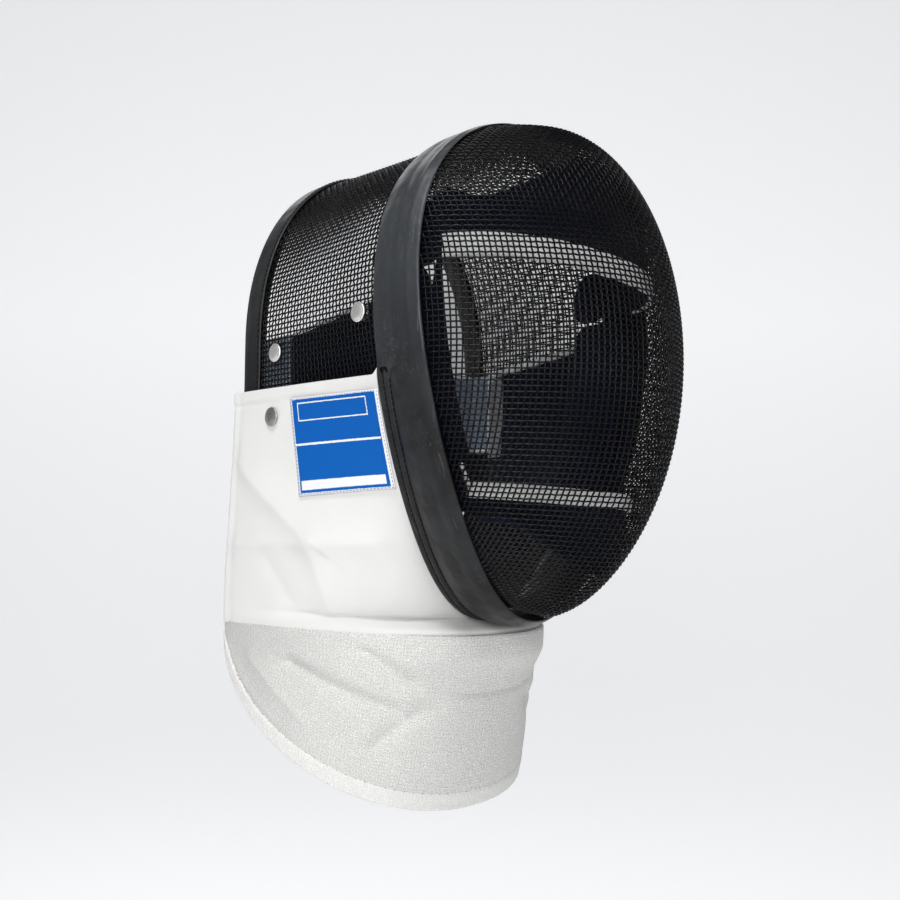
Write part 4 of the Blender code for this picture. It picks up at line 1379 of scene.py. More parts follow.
@dataclass
class Bib:
    """The white padded cloth, the metallic cloth below it and their hems."""

    form: MaskForm = FORM
    upper_folds: tuple[Fold, ...] = (
        Fold((0.02, -0.1960), (0.56, -0.2480), -0.0030, (0.034, 0.016)),
        Fold((0.03, -0.2515), (0.86, -0.2510), -0.0026, (0.022, 0.018)),
        Fold((0.58, -0.2530), (0.69, -0.2970), -0.0024, (0.022, 0.016)),
        Fold((0.30, -0.2580), (0.48, -0.2860), 0.0012, (0.014, 0.014)),
    )
    lower_folds: tuple[Fold, ...] = (
        Fold((0.41, -0.3205), (0.84, -0.3460), 0.0040, (0.0075, 0.0150)),
        Fold((0.71, -0.3105), (0.88, -0.3300), 0.0034, (0.0070, 0.0120)),
        Fold((0.92, -0.3490), (0.80, -0.3700), 0.0030, (0.0110, 0.0110)),
        Fold((0.20, -0.3200), (0.52, -0.3560), -0.0016, (0.0140, 0.0110)),
    )
    fade: float = 0.0080
    top_hem: float = 0.0085
    rear_hem: float = 0.0060
    hem_rise: float = 0.0005
    seam_depth: float = 0.0007
    corner_rise: float = 0.0045
    low_hem: float = 0.0105
    tuck: float = 0.0012
    side_rows: float = 0.93
    upper_size: tuple[float, float] = (0.185, 0.15)
    lower_size: tuple[float, float] = (0.37, 0.11)
    # the cloth's height in its UVs up to which its front edge under the trim takes the lining
    # finish as painted shade
    painted_shade_height: float = 0.139
    last_column: float = 0.98
    front_edge: float = 0.0007
    hem_rows: float = 0.86
    lap_front_z: float = -0.3420
    lap_slope: float = 0.085
    lap_start: float = 0.86
    front_bulge: float = 0.0030
    pucker: float = 0.00035
    pucker_run: float = 0.0068

    def pressed(self, share: float, z: float, folds: Sequence[Fold]) -> float:
        """How far the folds press the bib in, at a share of its depth and a height.

        Args:
            share: 0 at the rear edge, 1 in front.
            z: The height.
            folds: The cloth's folds.

        Returns:
            The depth in metres.
        """
        form, found = self.form, 0.0
        run = form.bib_rear_y(z) - form.bib_front_y(z)
        here = Vector((share * run, z))
        for fold in folds:
            start = Vector((fold.start[0] * run, fold.start[1]))
            along = Vector((fold.end[0] * run, fold.end[1])) - start
            reach = clamp((here - start).dot(along) / along.length_squared)
            away = here - start - along * reach
            beyond = along.x * away.y - along.y * away.x < 0
            found += fold.depth * max(1 - away.length / fold.widths[beyond], 0.0) ** 2
        found *= ease(share / 0.14)
        return found * ease((abs(z - form.seam_z(share)) - form.bib_seam_band) / self.fade)

    def point(self, turn: float, z: float, side: float, folds: Sequence[Fold],
              soft: float = 0.0004) -> Vector:
        """A point of the bib's outer face: turn 0 at the rear edge, a quarter turn in front.

        Args:
            turn: The angle round the bib.
            z: The height.
            side: The sign of x.
            folds: The cloth's folds.
            soft: How deep its small ripples are.

        Returns:
            The point.
        """
        share = math.sin(turn)
        half_width, y = self.form.bib_plan(share, z)
        point = Vector((side * half_width, y, z))
        inward = Vector((-point.x, self.form.bib_axis_y - y, 0.0)).normalized()
        ripple = soft * (noise.noise(Vector((y * 38, z * 38, 1.7))) + 0.3)
        edge = min(1.0, (1 - share) * 8)
        return point + inward * (self.pressed(share, z, folds) + ripple * edge)

    def hem_relief(self, away: float, width: float) -> float:
        """How far a turned-over hem stands out at a distance from its edge, with its seam."""
        band = self.hem_rise * ease((width - away) / 0.0012)
        seam = self.seam_depth * math.exp(-(((away - width - 0.0004) / 0.0011) ** 2))
        return band - seam

    def upper_point(self, across: float, down: float) -> Vector:
        """The white cloth's left half, from rear edge to trim and from top hem to seam."""
        form = self.form
        if self.last_column < across < 1:
            across = 1 - self.front_edge
        turn = math.pi / 2 * across
        start = math.asin(float(form.height_share(form.bib_top_z)))
        low = self.side_rows
        if down <= low:
            share = down / low
            _, front_z = form.rim_outline(mix(start, -math.pi / 2, share), form.bib_rim_outset)
            front_z = min(front_z, form.bib_top_z)
            rear_z = mix(form.bib_top_z, form.bib_seam_rear_z + form.bib_seam_band, share)
        else:
            share = (down - low) / (1 - low)
            _, chin_z = form.rim_outline(-math.pi / 2, form.bib_rim_outset)
            rear_z = mix(form.bib_seam_rear_z + form.bib_seam_band, form.bib_seam_rear_z, share)
            front_z = mix(chin_z, form.bib_seam_front_z, share)
        z = mix(rear_z, front_z, math.sin(turn) ** 2)
        point = self.point(turn, z, 1.0, self.upper_folds)
        run = form.bib_rear_y(z) - form.bib_front_y(z)
        below, ahead = form.bib_top_z - z, math.sin(turn) * run
        hem = self.hem_relief(below, self.top_hem) + self.hem_relief(ahead, self.rear_hem)
        point += form.off_bib(point) * hem
        corner = ease((math.sin(turn) - 0.955) / 0.04) * clamp(1 - below / 0.016)
        point.z += self.corner_rise * corner
        if across > 1 - 1e-6 and down > low - 0.001:
            point.x = 0.0
        return point

    def lap_z(self, share: float) -> float:
        """The height of the metallic cloth's lapped seam, which crosses it in front."""
        return self.lap_front_z + self.lap_slope * (1 - share)

    def lower_point(self, across: float, down: float) -> Vector:
        """The metallic cloth, from rear corner to rear corner and from the seam to the hem."""
        form = self.form
        around = 2 * across - 1
        turn = math.pi / 2 * (1 - abs(around))
        share = math.sin(turn)
        reach = (1 - abs(around) ** form.bib_hem_power) ** (1 / form.bib_hem_power)
        hem_z = mix(form.bib_hem_rear_z, form.bib_hem_front_z, reach)
        top_z = form.seam_z(share) + self.tuck
        band = min(self.low_hem, 0.5 * (top_z - hem_z))
        if down <= self.hem_rows:
            z = mix(top_z, hem_z + band, down / self.hem_rows)
        else:
            z = mix(hem_z + band, hem_z, (down - self.hem_rows) / (1 - self.hem_rows))
        point = self.point(turn, z, math.copysign(1.0, around), self.lower_folds, 0.0006)
        outward = form.off_bib(point)
        relief = self.hem_relief(z - hem_z, band) if band > 0.004 else 0.0
        waves = math.sin(math.tau * around * 0.19 / self.pucker_run)
        relief += self.pucker * waves * math.exp(-(((z - hem_z - band) / 0.0035) ** 2))
        above = z - self.lap_z(share)
        relief += self.hem_relief(above, 0.0) * ease((share - self.lap_start) / 0.02)
        bulge = ease((share - 0.75) / 0.25) * ease((z + 0.332) / 0.022)
        return point + outward * (relief + self.front_bulge * bulge)

    def lower_seams(self) -> bpy.types.Object:
        """The stitches along the metallic cloth's hem and along its lapped seam."""
        form = self.form
        hem = [self.lower_point(mix(0.03, 0.97, k / 240), self.hem_rows) for k in range(241)]
        lap = []
        for k in range(121):
            across = mix(0.37, 0.63, k / 120)
            share = math.sin(math.pi / 2 * (1 - abs(2 * across - 1)))
            top_z = form.seam_z(share) + self.tuck
            low_z = self.lower_point(across, self.hem_rows).z
            lap.append(self.lower_point(across, self.hem_rows * (top_z - self.lap_z(share))
                                        / (top_z - low_z)))
        lines = [line for path in (hem, lap) for line in
                 stitches(path, form.off_bib, stitch=0.0022)]
        return tubes("bib_metallic_seams", lines, 0.00022, GREY_THREAD.material(), 0)

    def build(self) -> None:
        """Both cloths, each with its stitches."""
        inside = Vector((0.0, self.form.bib_axis_y, self.form.rim_mid_z))
        bm = shaped_grid(64, 84, self.upper_point, self.upper_size)
        face_away(bm, inside)
        uv = bm.loops.layers.uv.active
        # Painted shade: the white cloth's last column under the trim takes the dark lining finish.
        for face in bm.faces:
            corners = [loop[uv].uv for loop in face.loops]
            inside_trim = max(c.y for c in corners) < self.painted_shade_height
            last = self.upper_size[0] * self.last_column
            if inside_trim and min(c.x for c in corners) > last:
                face.material_index = 1
        upper = to_object("bib_cloth", bm, WHITE.material(), LINING.material())
        both = upper.modifiers.new("both sides", "MIRROR")
        both.merge_threshold = 1e-5
        thicken(upper, self.form.bib_wall, 1)
        piece(upper, "white_cloth", "bib_upper")
        bm = shaped_grid(132, 50, self.lower_point, self.lower_size)
        face_away(bm, inside)
        uv = bm.loops.layers.uv.active
        hem_start = self.lower_size[1] * self.hem_rows - 1e-4
        for face in bm.faces:
            if min(loop[uv].uv.y for loop in face.loops) > hem_start:
                face.material_index = 1
        lower = to_object("bib_metallic_cloth", bm, SILVER.material(), SILVER_HEM.material(),
                          LINING.material())
        thicken(lower, self.form.bib_wall, 1)
        piece(lower, "silver_cloth", "bib_lower")
        piece(self.lower_seams(), "silver_cloth")


@dataclass
class Label:
    """The blue patch on the bib's right side."""

    form: MaskForm = FORM
    top_z: float = -0.1640
    bottom_z: float = -0.2190
    drop: float = 0.0035
    rear_ys: tuple[float, float] = (0.0390, 0.0345)
    trim_gap: float = 0.0022
    thickness: float = 0.0007
    rise: float = 0.0007
    stitch_inset: float = 0.013

    def build(self, bib: Bib) -> None:
        """The patch and its border of stitches.

        Args:
            bib: The cloth that it is sewn to.
        """
        form = self.form

        def place(across: float, down: float) -> Vector:
            """The patch's point at shares forward and down."""
            z = mix(self.top_z, self.bottom_z - self.drop * (1 - across), down)
            rear_y = mix(*self.rear_ys, down)
            front_y = max(rear_y - LABEL.size[0], form.bib_front_y(z) + self.trim_gap)
            y = mix(rear_y, front_y, across)
            turn = math.asin(form.bib_share(y, z))
            point = bib.point(turn, z, -1.0, bib.upper_folds)
            outward = Vector((point.x, y - form.bib_axis_y, 0.0)).normalized()
            return point + outward * (self.rise + self.thickness)

        bm = shaped_grid(36, 26, place, LABEL.size)
        face_away(bm, Vector((0.0, form.bib_axis_y, form.rim_mid_z)))
        patch = to_object("label_patch", bm, LABEL.material())
        thicken(patch, self.thickness)
        piece(patch, "blue_label", "label")
        low, high = self.stitch_inset, 1 - self.stitch_inset
        corners = ((low, low), (high, low), (high, high), (low, high), (low, low))
        lines = []
        for (a, c), (b, d) in zip(corners, corners[1:]):
            side = [place(mix(a, b, k / 24), mix(c, d, k / 24)) for k in range(25)]
            lines += stitches(side, lambda p: Vector((-1.0, 0.0, 0.0)), 0.0012, 0.0010, 0.0002)
        piece(tubes("label_stitches", lines, 0.00022, LABEL_THREAD.material(), 0), "blue_label")


# ---- The liner and the strap


@dataclass
class Liner:
    """The pads round the face opening, the white edging and the piping."""

    form: MaskForm = FORM
    face_top_z: float = -0.0960
    face_bottom_z: float = -0.2170
    face_bottom_dip: float = 0.0030
    face_bottom_lean: float = 0.0055
    pad_wall: float = 0.0100
    side_wall: float = 0.0220
    pad_clear: float = 0.0015
    pad_turn_y: float = -0.0500
    pad_plan_power: float = 2.3
    forehead_plan: tuple[float, ...] = (0.0950, -0.1130, -0.0240, 0.0060)
    chin_plan: tuple[float, ...] = (0.0690, -0.1060, -0.0300, 0.0040)
    chin_tuck: float = 0.0034
    chin_reach: tuple[float, float] = (0.0115, -0.0050)
    cheek_wall: float = 0.0080
    cheek_front_y: float = -0.0635
    cheek_roll_y: float = -0.0300
    cheek_roll_run: float = 0.0120
    cheek_rear_y: float = 0.0610
    cheek_top_zs: tuple[float, float] = (-0.1120, -0.1245)
    cheek_bottom_z: float = -0.2205
    cheek_clear: float = 0.0022
    pad_taper: float = 0.2
    edging_wall: float = 0.0024
    edging_gap: float = 0.0006
    edging_widths: tuple[float, float] = (0.0136, 0.0092)
    edging_side_width: float = 0.0090
    edging_side_inset: float = 0.0054
    edging_levels: tuple[float, ...] = (0.18, 0.38, 0.58, 0.76, 0.91)
    edging_reach: tuple[float, float] = (0.60, 0.62)
    # how far the navy finish, painted shade on the white band, reaches round the stations beside
    # the face
    painted_shade_reach: float = 1.6
    turn_share: float = 0.72
    piping_radius: float = 0.0026
    piping_end: float = 0.992

    def inside_half_width(self, y: float, z: float) -> float:
        """The clear half-width inside the wire at a depth and a height."""
        form = self.form
        outline = form.rim_half_width(z, -form.side_inset - form.wire_wall - self.pad_clear)
        if y >= form.rim_y(z):
            return outline
        low, high = 0.0, outline
        for _ in range(24):
            middle = (low + high) / 2
            if form.dome_y(middle, z) + 1.6 * form.wire_wall + self.pad_clear < y:
                low = middle
            else:
                high = middle
        return low

    def limit_z(self, x: float, y: float, upward: bool) -> float:
        """How far up or down a wall at this place can go inside the wire.

        Args:
            x: The place across.
            y: The depth.
            upward: Whether the wall goes up.

        Returns:
            The height where it ends.
        """
        inside = self.form.rim_mid_z
        outside = inside + (0.16 if upward else -0.16)
        tuck = 0.0 if upward else self.chin_tuck * ease(abs(x) / 0.05)
        for _ in range(20):
            middle = (inside + outside) / 2
            if self.inside_half_width(y, middle) + tuck > abs(x):
                inside = middle
            else:
                outside = middle
        return inside

    def plan(self, share: float, half_width: float, front_y: float, rear_y: float,
             spread: float) -> tuple[float, float]:
        """(x, y) along a pad's plan, from -1 at its right rear end to 1 at its left.

        Args:
            share: The place along the pad.
            half_width: Half its width at the turn.
            front_y: How far forward it goes.
            rear_y: Where its ends are.
            spread: How far the ends open.

        Returns:
            The point's x and y.
        """
        side, share = math.copysign(1.0, share), abs(share)
        if share <= self.turn_share:
            angle = math.pi / 2 * share / self.turn_share
            x = half_width * math.sin(angle) ** (2 / self.pad_plan_power)
            depth = (self.pad_turn_y - front_y) * max(math.cos(angle), 0.0) ** (
                2 / self.pad_plan_power)
            return side * x, self.pad_turn_y - depth
        along = (share - self.turn_share) / (1 - self.turn_share)
        x = half_width + spread * ease(along)
        return side * x, mix(self.pad_turn_y, rear_y, along)

    def chin_edge_z(self, share: float) -> float:
        """The chin pad's top edge along its plan: it dips in front and leans to the left."""
        return (self.face_bottom_z - self.face_bottom_dip * (1 - share * share)
                - self.face_bottom_lean * share)

    @staticmethod
    def puff(share: float) -> float:
        """A cushion's thickness across it, 0 at both sewn edges."""
        return (1 - abs(2 * share - 1) ** 7) ** 0.5

    def cushion(self, columns: int, rows: int, outer: Place, inward: Place,
                walls: Callable[[float], float], size: tuple[float, float]
                ) -> bmesh.types.BMesh:
        """A closed cushion: a flat outer sheet and a full inner one, sewn together all round.

        Args:
            columns: Faces across.
            rows: Faces down each sheet.
            outer: The outer sheet's points.
            inward: The direction into the mask at the same shares.
            walls: The thickness at a share across.
            size: The cushion's width and height.

        Returns:
            The new bmesh.
        """

        def place(across: float, around: float) -> Vector:
            """The outer sheet's point in the first half, the inner one's after."""
            down = 2 * around if around <= 0.5 else 2 - 2 * around
            point = outer(across, down)
            if around <= 0.5:
                return point
            full = walls(across) * self.puff(across) * self.puff(down)
            return point + inward(across, down) * full

        return shaped_grid(columns, 2 * rows, place, (size[0], 2 * size[1]), joined=True)

    def finish_cushion(self, name: str, bm: bmesh.types.BMesh, node: str) -> None:
        pad = to_object(name, bm, NAVY.material())
        soften(pad)
        piece(pad, "navy_cloth", node)

    def cross_pad(self, name: str, plan: tuple[float, ...], upward: bool) -> None:
        """A padded wall across the face, from its free edge to the inside of the wire.

        Args:
            name: The pad's node.
            plan: The numbers that plan() takes after its share.
            upward: Whether it is the pad above the face.
        """

        def outer(across: float, up: float) -> Vector:
            """The pad's front face at shares across and towards the wire."""
            share = 2 * across - 1
            x, y = self.plan(share, *plan)
            edge_z = self.face_top_z if upward else self.chin_edge_z(share)
            return Vector((x, y, mix(edge_z, self.limit_z(x, y, upward), up)))

        def inward(across: float, up: float) -> Vector:
            """The direction from the wire towards the face."""
            share = 2 * across - 1
            before, after = (Vector(self.plan(clamp(share + step, -1.0, 1.0), *plan))
                             for step in (-0.02, 0.02))
            along = after - before
            return Vector((-along.y, along.x, 0.0)).normalized()

        def wall(across: float) -> float:
            """The pad's thickness at a share across."""
            beside = ease((abs(2 * across - 1) - 0.62) / 0.16)
            return mix(self.pad_wall, self.side_wall if upward else self.pad_wall, beside)

        bm = self.cushion(72, 14, outer, inward, wall, (0.30, 0.07))
        self.finish_cushion(name + "_cushion", bm, name)

    def wall_inside(self, y: float, z: float) -> float:
        """The half-width of the outer face of a cheek pad."""
        form = self.form
        front = self.inside_half_width(y, z) - self.cheek_clear
        below = max(form.side_end_z - z, 0.0)
        rear = form.barrel_half_width(y, z + below) - form.wire_wall - self.cheek_clear
        share = ease((y - form.trim_rear_y(z)) / 0.0400)
        return mix(front, rear - self.pad_taper * below, share)

    def cheek_top(self, y: float) -> float:
        """The height of a cheek pad's top edge at a depth."""
        run = self.cheek_rear_y - self.cheek_roll_y
        low = mix(*self.cheek_top_zs, clamp((y - self.cheek_roll_y) / run))
        behind = ease((y - self.cheek_roll_y + 0.004) / self.cheek_roll_run)
        return mix(self.face_top_z - 0.0004, low, behind)

    def cheek_pad(self, side: Side) -> None:
        """A cushion inside one side: a thick roll beside the face and a flat panel behind it."""

        def outer(across: float, down: float) -> Vector:
            """The pad's face towards the wire at shares back and down."""
            y = mix(self.cheek_front_y, self.cheek_rear_y, across)
            z = mix(self.cheek_top(y), self.cheek_bottom_z, down)
            return Vector((side.value * self.wall_inside(y, z), y, z))

        def inward(across: float, down: float) -> Vector:
            """The direction into the mask, the same all over."""
            return Vector((-side.value, 0.0, 0.0))

        def wall(across: float) -> float:
            """The pad's thickness at a share back."""
            y = mix(self.cheek_front_y, self.cheek_rear_y, across)
            behind = ease((y - self.cheek_roll_y + 0.004) / self.cheek_roll_run)
            return mix(self.side_wall + 0.002, self.cheek_wall, behind)

        name = "cheek_pad_" + side.name.lower()
        bm = self.cushion(64, 26, outer, inward, wall, (0.125, 0.11))
        self.finish_cushion(name + "_cushion", bm, name)
        first = (self.cheek_roll_y - self.cheek_front_y + 0.006) / (
            self.cheek_rear_y - self.cheek_front_y)
        inset = Vector((-side.value * self.cheek_wall * 0.45, 0.0, 0.0))
        top = [outer(mix(first, self.piping_end, k / 50), 0.0) + inset for k in range(51)]
        rear = [outer(self.piping_end, k / 36) + inset for k in range(1, 22)]
        pipe = tubes("cheek_piping_" + side.name.lower(), [top + rear],
                     self.piping_radius, PIPING.material(), rounds=2, caps=True)
        piece(pipe, "white_edging")

        def tape(across: float, down: float) -> Vector:
            """The tape's point at shares across and down."""
            y = self.cheek_rear_y - mix(0.0170, 0.0035, across)
            z = mix(self.cheek_top(y) - 0.006, self.cheek_bottom_z + 0.034, down)
            x = self.wall_inside(y, z) - self.cheek_wall - 0.0004
            return Vector((side.value * x, y, z))

        bm = shaped_grid(4, 20, tape, (0.0135, 0.062))
        face_away(bm, Vector((side.value * 0.2, 0.0, self.form.rim_mid_z)))
        strip = to_object("cheek_tape_" + side.name.lower(), bm, GREY_TAPE.material())
        thicken(strip, 0.0008)
        piece(strip, "white_edging")

    def edging_stations(self) -> list[tuple[Vector, Vector, float, bool]]:
        """(middle, direction across, half-width, whether white) right round the opening."""
        across, stations = 42, []
        upper, lower = self.edging_reach
        top, bottom = (width / 2 for width in self.edging_widths)
        narrow, gap = self.edging_side_width / 2, self.form.gap

        def beside(z: float, side: float) -> tuple[Vector, Vector, float, bool]:
            """A station next to the face, on one side, where the band is drawn dark as painted
            shade.
            """
            y = float(self.form.rim_y(z))
            x = self.inside_half_width(y, z) - self.edging_side_inset
            return Vector((side * x, y - gap, z)), Vector((side, 0, 0)), narrow, False

        for k in range(across + 1):
            x, y = self.plan(mix(-upper, upper, k / across), *self.forehead_plan)
            middle = Vector((x, y - gap, self.face_top_z + top))
            stations.append((middle, Vector((0, 0, 1)), top, True))
        levels = [mix(self.face_top_z, self.face_bottom_z, s) for s in self.edging_levels]
        stations += [beside(z, 1.0) for z in levels]
        for k in range(-1, across + 2):
            share = mix(lower, -lower, k / across)
            x, y = self.plan(mix(lower, -lower, clamp(k / across)), *self.chin_plan)
            z = self.chin_edge_z(share) - bottom
            if k in (-1, across + 1):
                y += self.chin_reach[1]
                clear = self.inside_half_width(y, z) - self.edging_wall
                x = math.copysign(min(abs(x) + self.chin_reach[0], clear), x)
            middle = Vector((x, y - gap, z))
            stations.append((middle, Vector((0, 0, -1)), bottom, True))
        return stations + [beside(z, -1.0) for z in reversed(levels)]

    def edging(self) -> None:
        """The band round the face opening: white tape above and below, and the navy finish beside
        the face as painted shade.
        """
        stations = self.edging_stations()
        count = len(stations)
        ring = ((-1.0, 0.0), (-1.0, 0.7), (-0.8, 1.0), (0.0, 1.1), (0.8, 1.0), (1.0, 0.7),
                (1.0, 0.0), (0.0, 0.0))

        def place(around: float, across: float) -> Vector:
            """The band's point at shares round the opening and its section."""
            k = round(around * count) % count
            point, wide, half, _ = stations[k]
            along = stations[(k + 1) % count][0] - stations[k - 1][0]
            forward = along.cross(wide).normalized()
            if forward.y > 0:
                forward = -forward
            side, out = ring[round(across * len(ring)) % len(ring)]
            return point + wide * half * side + forward * (self.edging_gap
                                                           + self.edging_wall * out)

        bm = shaped_grid(count, len(ring), place, (0.62, 0.028), joined=True)
        # Painted shade: faces near the stations beside the face take the navy finish, not the
        # white tape.
        beside = [point for point, _, _, white in stations if not white]
        for face in bm.faces:
            middle = face.calc_center_median()
            near = min((middle - point).length for point, _, _, white in stations if white)
            if min((middle - point).length for point in beside) < self.painted_shade_reach * near:
                face.material_index = 1
        piece(to_object("opening_edging", bm, TAPE.material(), NAVY.material()), "white_edging",
              "liner_edging")

    def build(self) -> None:
        """Every pad and the edging."""
        self.cross_pad("forehead_pad", self.forehead_plan, True)
        self.cross_pad("chin_pad", self.chin_plan, False)
        for side in Side:
            self.cheek_pad(side)
        self.edging()


@dataclass
class Strap:
    """The wide elastic behind the head."""

    form: MaskForm = FORM
    top_z: float = -0.1225
    bottom_z: float = -0.1815
    wall: float = 0.0020
    front_y: float = 0.0495
    rear_y: float = 0.0815
    corner: float = 0.0060
    inset: float = 0.0026

    def build(self) -> None:
        """The band, from one rivet round behind the head to the other."""

        def place(across: float, down: float) -> Vector:
            """The elastic's point at shares along and down."""
            z = mix(self.top_z, self.bottom_z, down)
            corner_y = self.rear_y - self.corner
            front_x, leg_x = (self.form.barrel_half_width(y, z) - self.inset
                              for y in (self.front_y, corner_y))
            path = [Vector((front_x, self.front_y)), Vector((leg_x, corner_y))]
            for k in range(1, 9):
                angle = math.pi / 2 * k / 8
                path.append(Vector((leg_x - self.corner * (1 - math.cos(angle)),
                                    corner_y + self.corner * math.sin(angle))))
            path.append(Vector((0.0, self.rear_y)))
            full = [Vector((-p.x, p.y)) for p in path] + path[-2::-1]
            at = evenly(full, 121)[round(across * 120)]
            return Vector((at.x, at.y, z))

        bm = shaped_grid(120, 12, place, (0.245, 0.059))
        face_away(bm, Vector((0.0, 0.0, self.top_z)))
        band = to_object("head_elastic", bm, ELASTIC.material())
        thicken(band, self.wall)
        piece(band, "grey_elastic", "rear_strap")


# ---- The rivets


@dataclass
class Rivets:
    """The domed rivets and the press studs."""

    form: MaskForm = FORM
    radius: float = 0.0058
    shank: float = 0.0020
    rise: float = 0.0017
    disc: float = 0.0008
    slack: float = 0.0009
    wall_inset: float = 0.0026
    strap_wall: float = 0.0020
    disc_share: float = 0.8
    places: tuple[tuple[str, float, float], ...] = (
        ("front_rivet", -0.0185, -0.1195), ("rear_rivet", 0.0600, -0.1330),
        ("bib_snap", 0.0560, -0.1735),
    )
    head_profile: tuple[tuple[float, float], ...] = (
        (0.0, 1.0), (0.35, 0.97), (0.66, 0.80), (0.80, 0.60), (0.86, 0.50), (0.93, 0.52),
        (0.99, 0.32), (1.0, 0.1), (1.0, 0.0),
    )

    def build(self) -> None:
        """Six of them, three a side."""
        for side in Side:
            for name, y, z in self.places:
                self.rivet(name, y, z, side)

    def rivet(self, name: str, y: float, z: float, side: Side) -> None:
        """One rivet: a rimmed dome outside, its shank and a flat disc inside.

        Args:
            name: Its node without the side.
            y: Its depth.
            z: Its height.
            side: The wearer's side.
        """
        form = self.form
        wire = form.barrel_half_width(y, z)
        outer = form.bib_plan(form.bib_share(y, z), z)[0] if name == "bib_snap" else wire
        inner = wire - (form.wire_wall if name == "front_rivet"
                        else self.wall_inset + self.strap_wall)
        head, tail, r = outer + self.slack, inner - self.slack, self.radius
        disc_r = self.disc_share * r
        profile = (*((share * r, head + high * self.rise) for share, high in self.head_profile),
                   (self.shank, head), (self.shank, tail), (disc_r, tail),
                   (disc_r, tail - self.disc), (0.0, tail - self.disc))
        bm = bmesh.new()
        verts = [bm.verts.new((across, 0.0, along)) for across, along in profile]
        edges = [bm.edges.new(pair) for pair in zip(verts, verts[1:])]
        bmesh.ops.spin(bm, geom=[*verts, *edges], cent=(0, 0, 0), axis=(0, 0, 1),
                       angle=math.tau, steps=32, use_merge=True)
        bmesh.ops.remove_doubles(bm, verts=bm.verts, dist=1e-6)
        bmesh.ops.recalc_face_normals(bm, faces=bm.faces)
        turn = Matrix.Rotation(side.value * math.pi / 2, 4, "Y")
        bmesh.ops.transform(bm, matrix=Matrix.Translation((0.0, y, z)) @ turn, verts=bm.verts)
        dull = name == "bib_snap"
        node = f"{name}_{side.name.lower()}"
        obj = to_object(node + "_head", bm, (DULL_NICKEL if dull else NICKEL).material())
        obj.data.set_sharp_from_angle(angle=math.radians(50))
        piece(obj, "nickel", node)


# ---- The studio


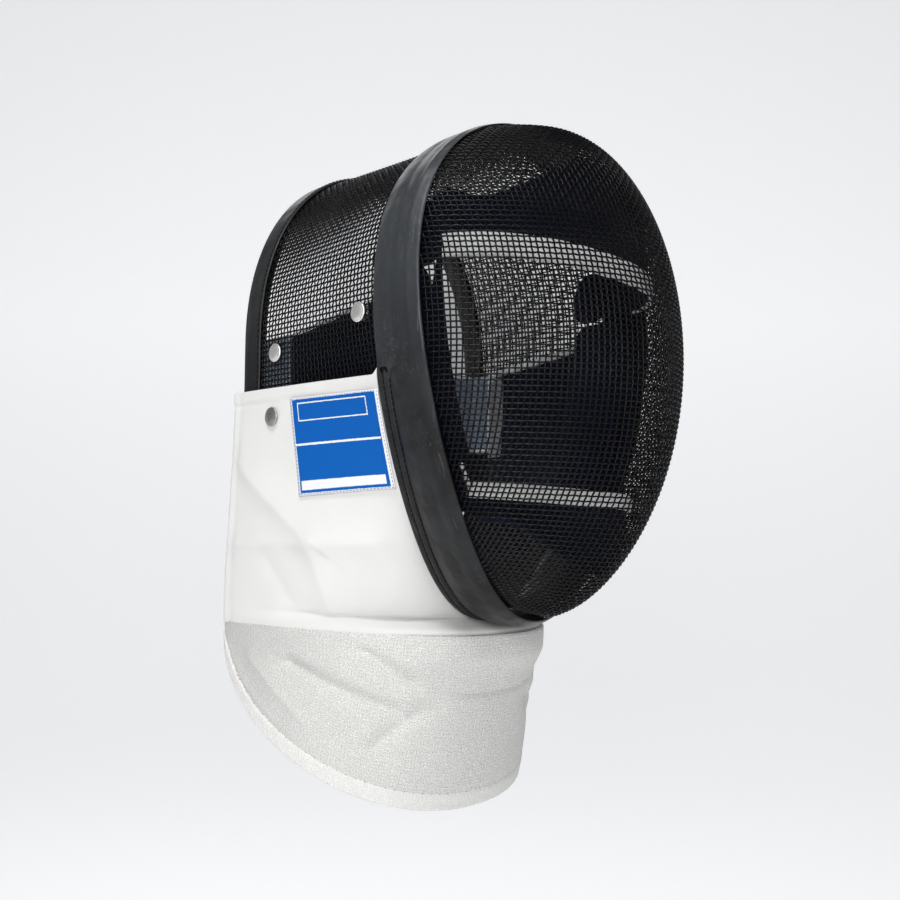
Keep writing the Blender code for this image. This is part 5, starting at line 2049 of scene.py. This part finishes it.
@dataclass
class Studio:
    """The sweep, the lights and the camera."""

    azimuth: float = -46.27
    elevation: float = -5.01
    roll: float = 0.17
    place: tuple[float, float, float] = (-0.48547, -0.45378, -0.24829)
    focal_px: float = 1030.0
    picture_px: float = 900.0
    sensor: float = 36.0
    floor_z: float = -0.95
    sweep_run: tuple[float, float] = (-3.0, 6.0)
    sweep_half_width: float = 5.0
    bend_start: float = 2.0
    bend_radius: float = 1.6
    sky: tuple[float, float, float, float] = (0.93, 0.95, 1.0, 1.0)
    sky_strength: float = 0.17
    aim: tuple[float, float, float] = (0.0, 0.0, -0.2)

    def axes(self) -> tuple[Vector, Vector, Vector]:
        """The camera's right, up and back."""
        a, e, r = (math.radians(v) for v in (self.azimuth, self.elevation, self.roll))
        back = Vector((math.sin(a) * math.cos(e), -math.cos(a) * math.cos(e), math.sin(e)))
        right = (-back).cross(Vector((0, 0, 1))).normalized()
        up = right.cross(-back)
        return (right * math.cos(r) + up * math.sin(r), up * math.cos(r) - right * math.sin(r),
                back)

    def camera(self) -> None:
        """The photograph's camera."""
        right, up, back = self.axes()
        data = bpy.data.cameras.new("photo_camera")
        data.sensor_width = self.sensor
        data.lens = self.focal_px * self.sensor / self.picture_px
        data.clip_start, data.clip_end = 0.01, 50.0
        obj = bpy.data.objects.new("photo_camera", data)
        turn = Matrix((right, up, back)).transposed().to_4x4()
        obj.matrix_world = Matrix.Translation(self.place) @ turn
        bpy.context.scene.collection.objects.link(obj)
        bpy.context.scene.camera = obj

    def sweep(self) -> None:
        """A floor that bends up into a wall, far enough off to be plain."""
        right, _, back = self.axes()
        away = Vector((-back.x, -back.y, 0.0)).normalized()

        def place(across: float, along: float) -> Vector:
            """The sweep's point at shares across and away from the camera."""
            run = mix(*self.sweep_run, along)
            bend, radius = self.bend_start, self.bend_radius
            if run <= bend:
                reach, rise = run, 0.0
            else:
                angle = min((run - bend) / radius, math.pi / 2)
                reach = bend + radius * math.sin(angle)
                rise = radius * (1 - math.cos(angle)) + max(run - bend - radius * math.pi / 2, 0.0)
            wide = mix(-self.sweep_half_width, self.sweep_half_width, across)
            flat = away * reach + Vector((right.x, right.y, 0.0)) * wide
            return Vector((flat.x, flat.y, self.floor_z + rise))

        bm = shaped_grid(8, 90, place)
        bmesh.ops.recalc_face_normals(bm, faces=bm.faces)
        # The paper finish paints a soft shadow on the sweep behind the mask.
        obj = to_object("studio_sweep", bm, PAPER.material())

    @staticmethod
    def lamp(name: str, place: tuple[float, float, float], aim: tuple[float, float, float],
             size: float, power: float) -> None:
        """A square soft light that looks at a point.

        Args:
            name: The lamp's name.
            place: Where it hangs.
            aim: The point that it looks at.
            size: The length of its side.
            power: Its power in watts.
        """
        data = bpy.data.lights.new(name, "AREA")
        data.shape, data.size, data.energy = "SQUARE", size, power
        obj = bpy.data.objects.new(name, data)
        way = Vector(aim) - Vector(place)
        obj.matrix_world = (Matrix.Translation(place)
                            @ way.to_track_quat("-Z", "Y").to_matrix().to_4x4())
        bpy.context.scene.collection.objects.link(obj)

    def build(self) -> None:
        """Everything round the mask."""
        self.camera()
        self.sweep()
        world = bpy.data.worlds.new("studio")
        world.use_nodes = True
        sky = world.node_tree.nodes["Background"]
        sky.inputs["Color"].default_value = self.sky
        sky.inputs["Strength"].default_value = self.sky_strength
        bpy.context.scene.world = world
        bpy.context.scene.view_settings.view_transform = "Standard"
        self.lamp("key_light", (-0.9, -0.5, 1.3), self.aim, 0.42, 19.0)
        self.lamp("fill_light", (-1.4, -1.2, 0.15), self.aim, 1.0, 25.0)
        self.lamp("back_light", (0.8, 1.2, 0.9), self.aim, 1.2, 7.0)


def main() -> None:
    """Builds every sub-assembly in order."""
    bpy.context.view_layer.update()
    Studio().build()
    build_weave()
    build_wear()
    WireFace().build()
    WireBarrel().build()
    RimTrim().build()
    RearTrim().build()
    bib = Bib()
    bib.build()
    Label().build(bib)
    Liner().build()
    Strap().build()
    Rivets().build()


if __name__ == "__main__":
    logging.basicConfig(level=logging.INFO, format="%(name)s: %(message)s")
    main()
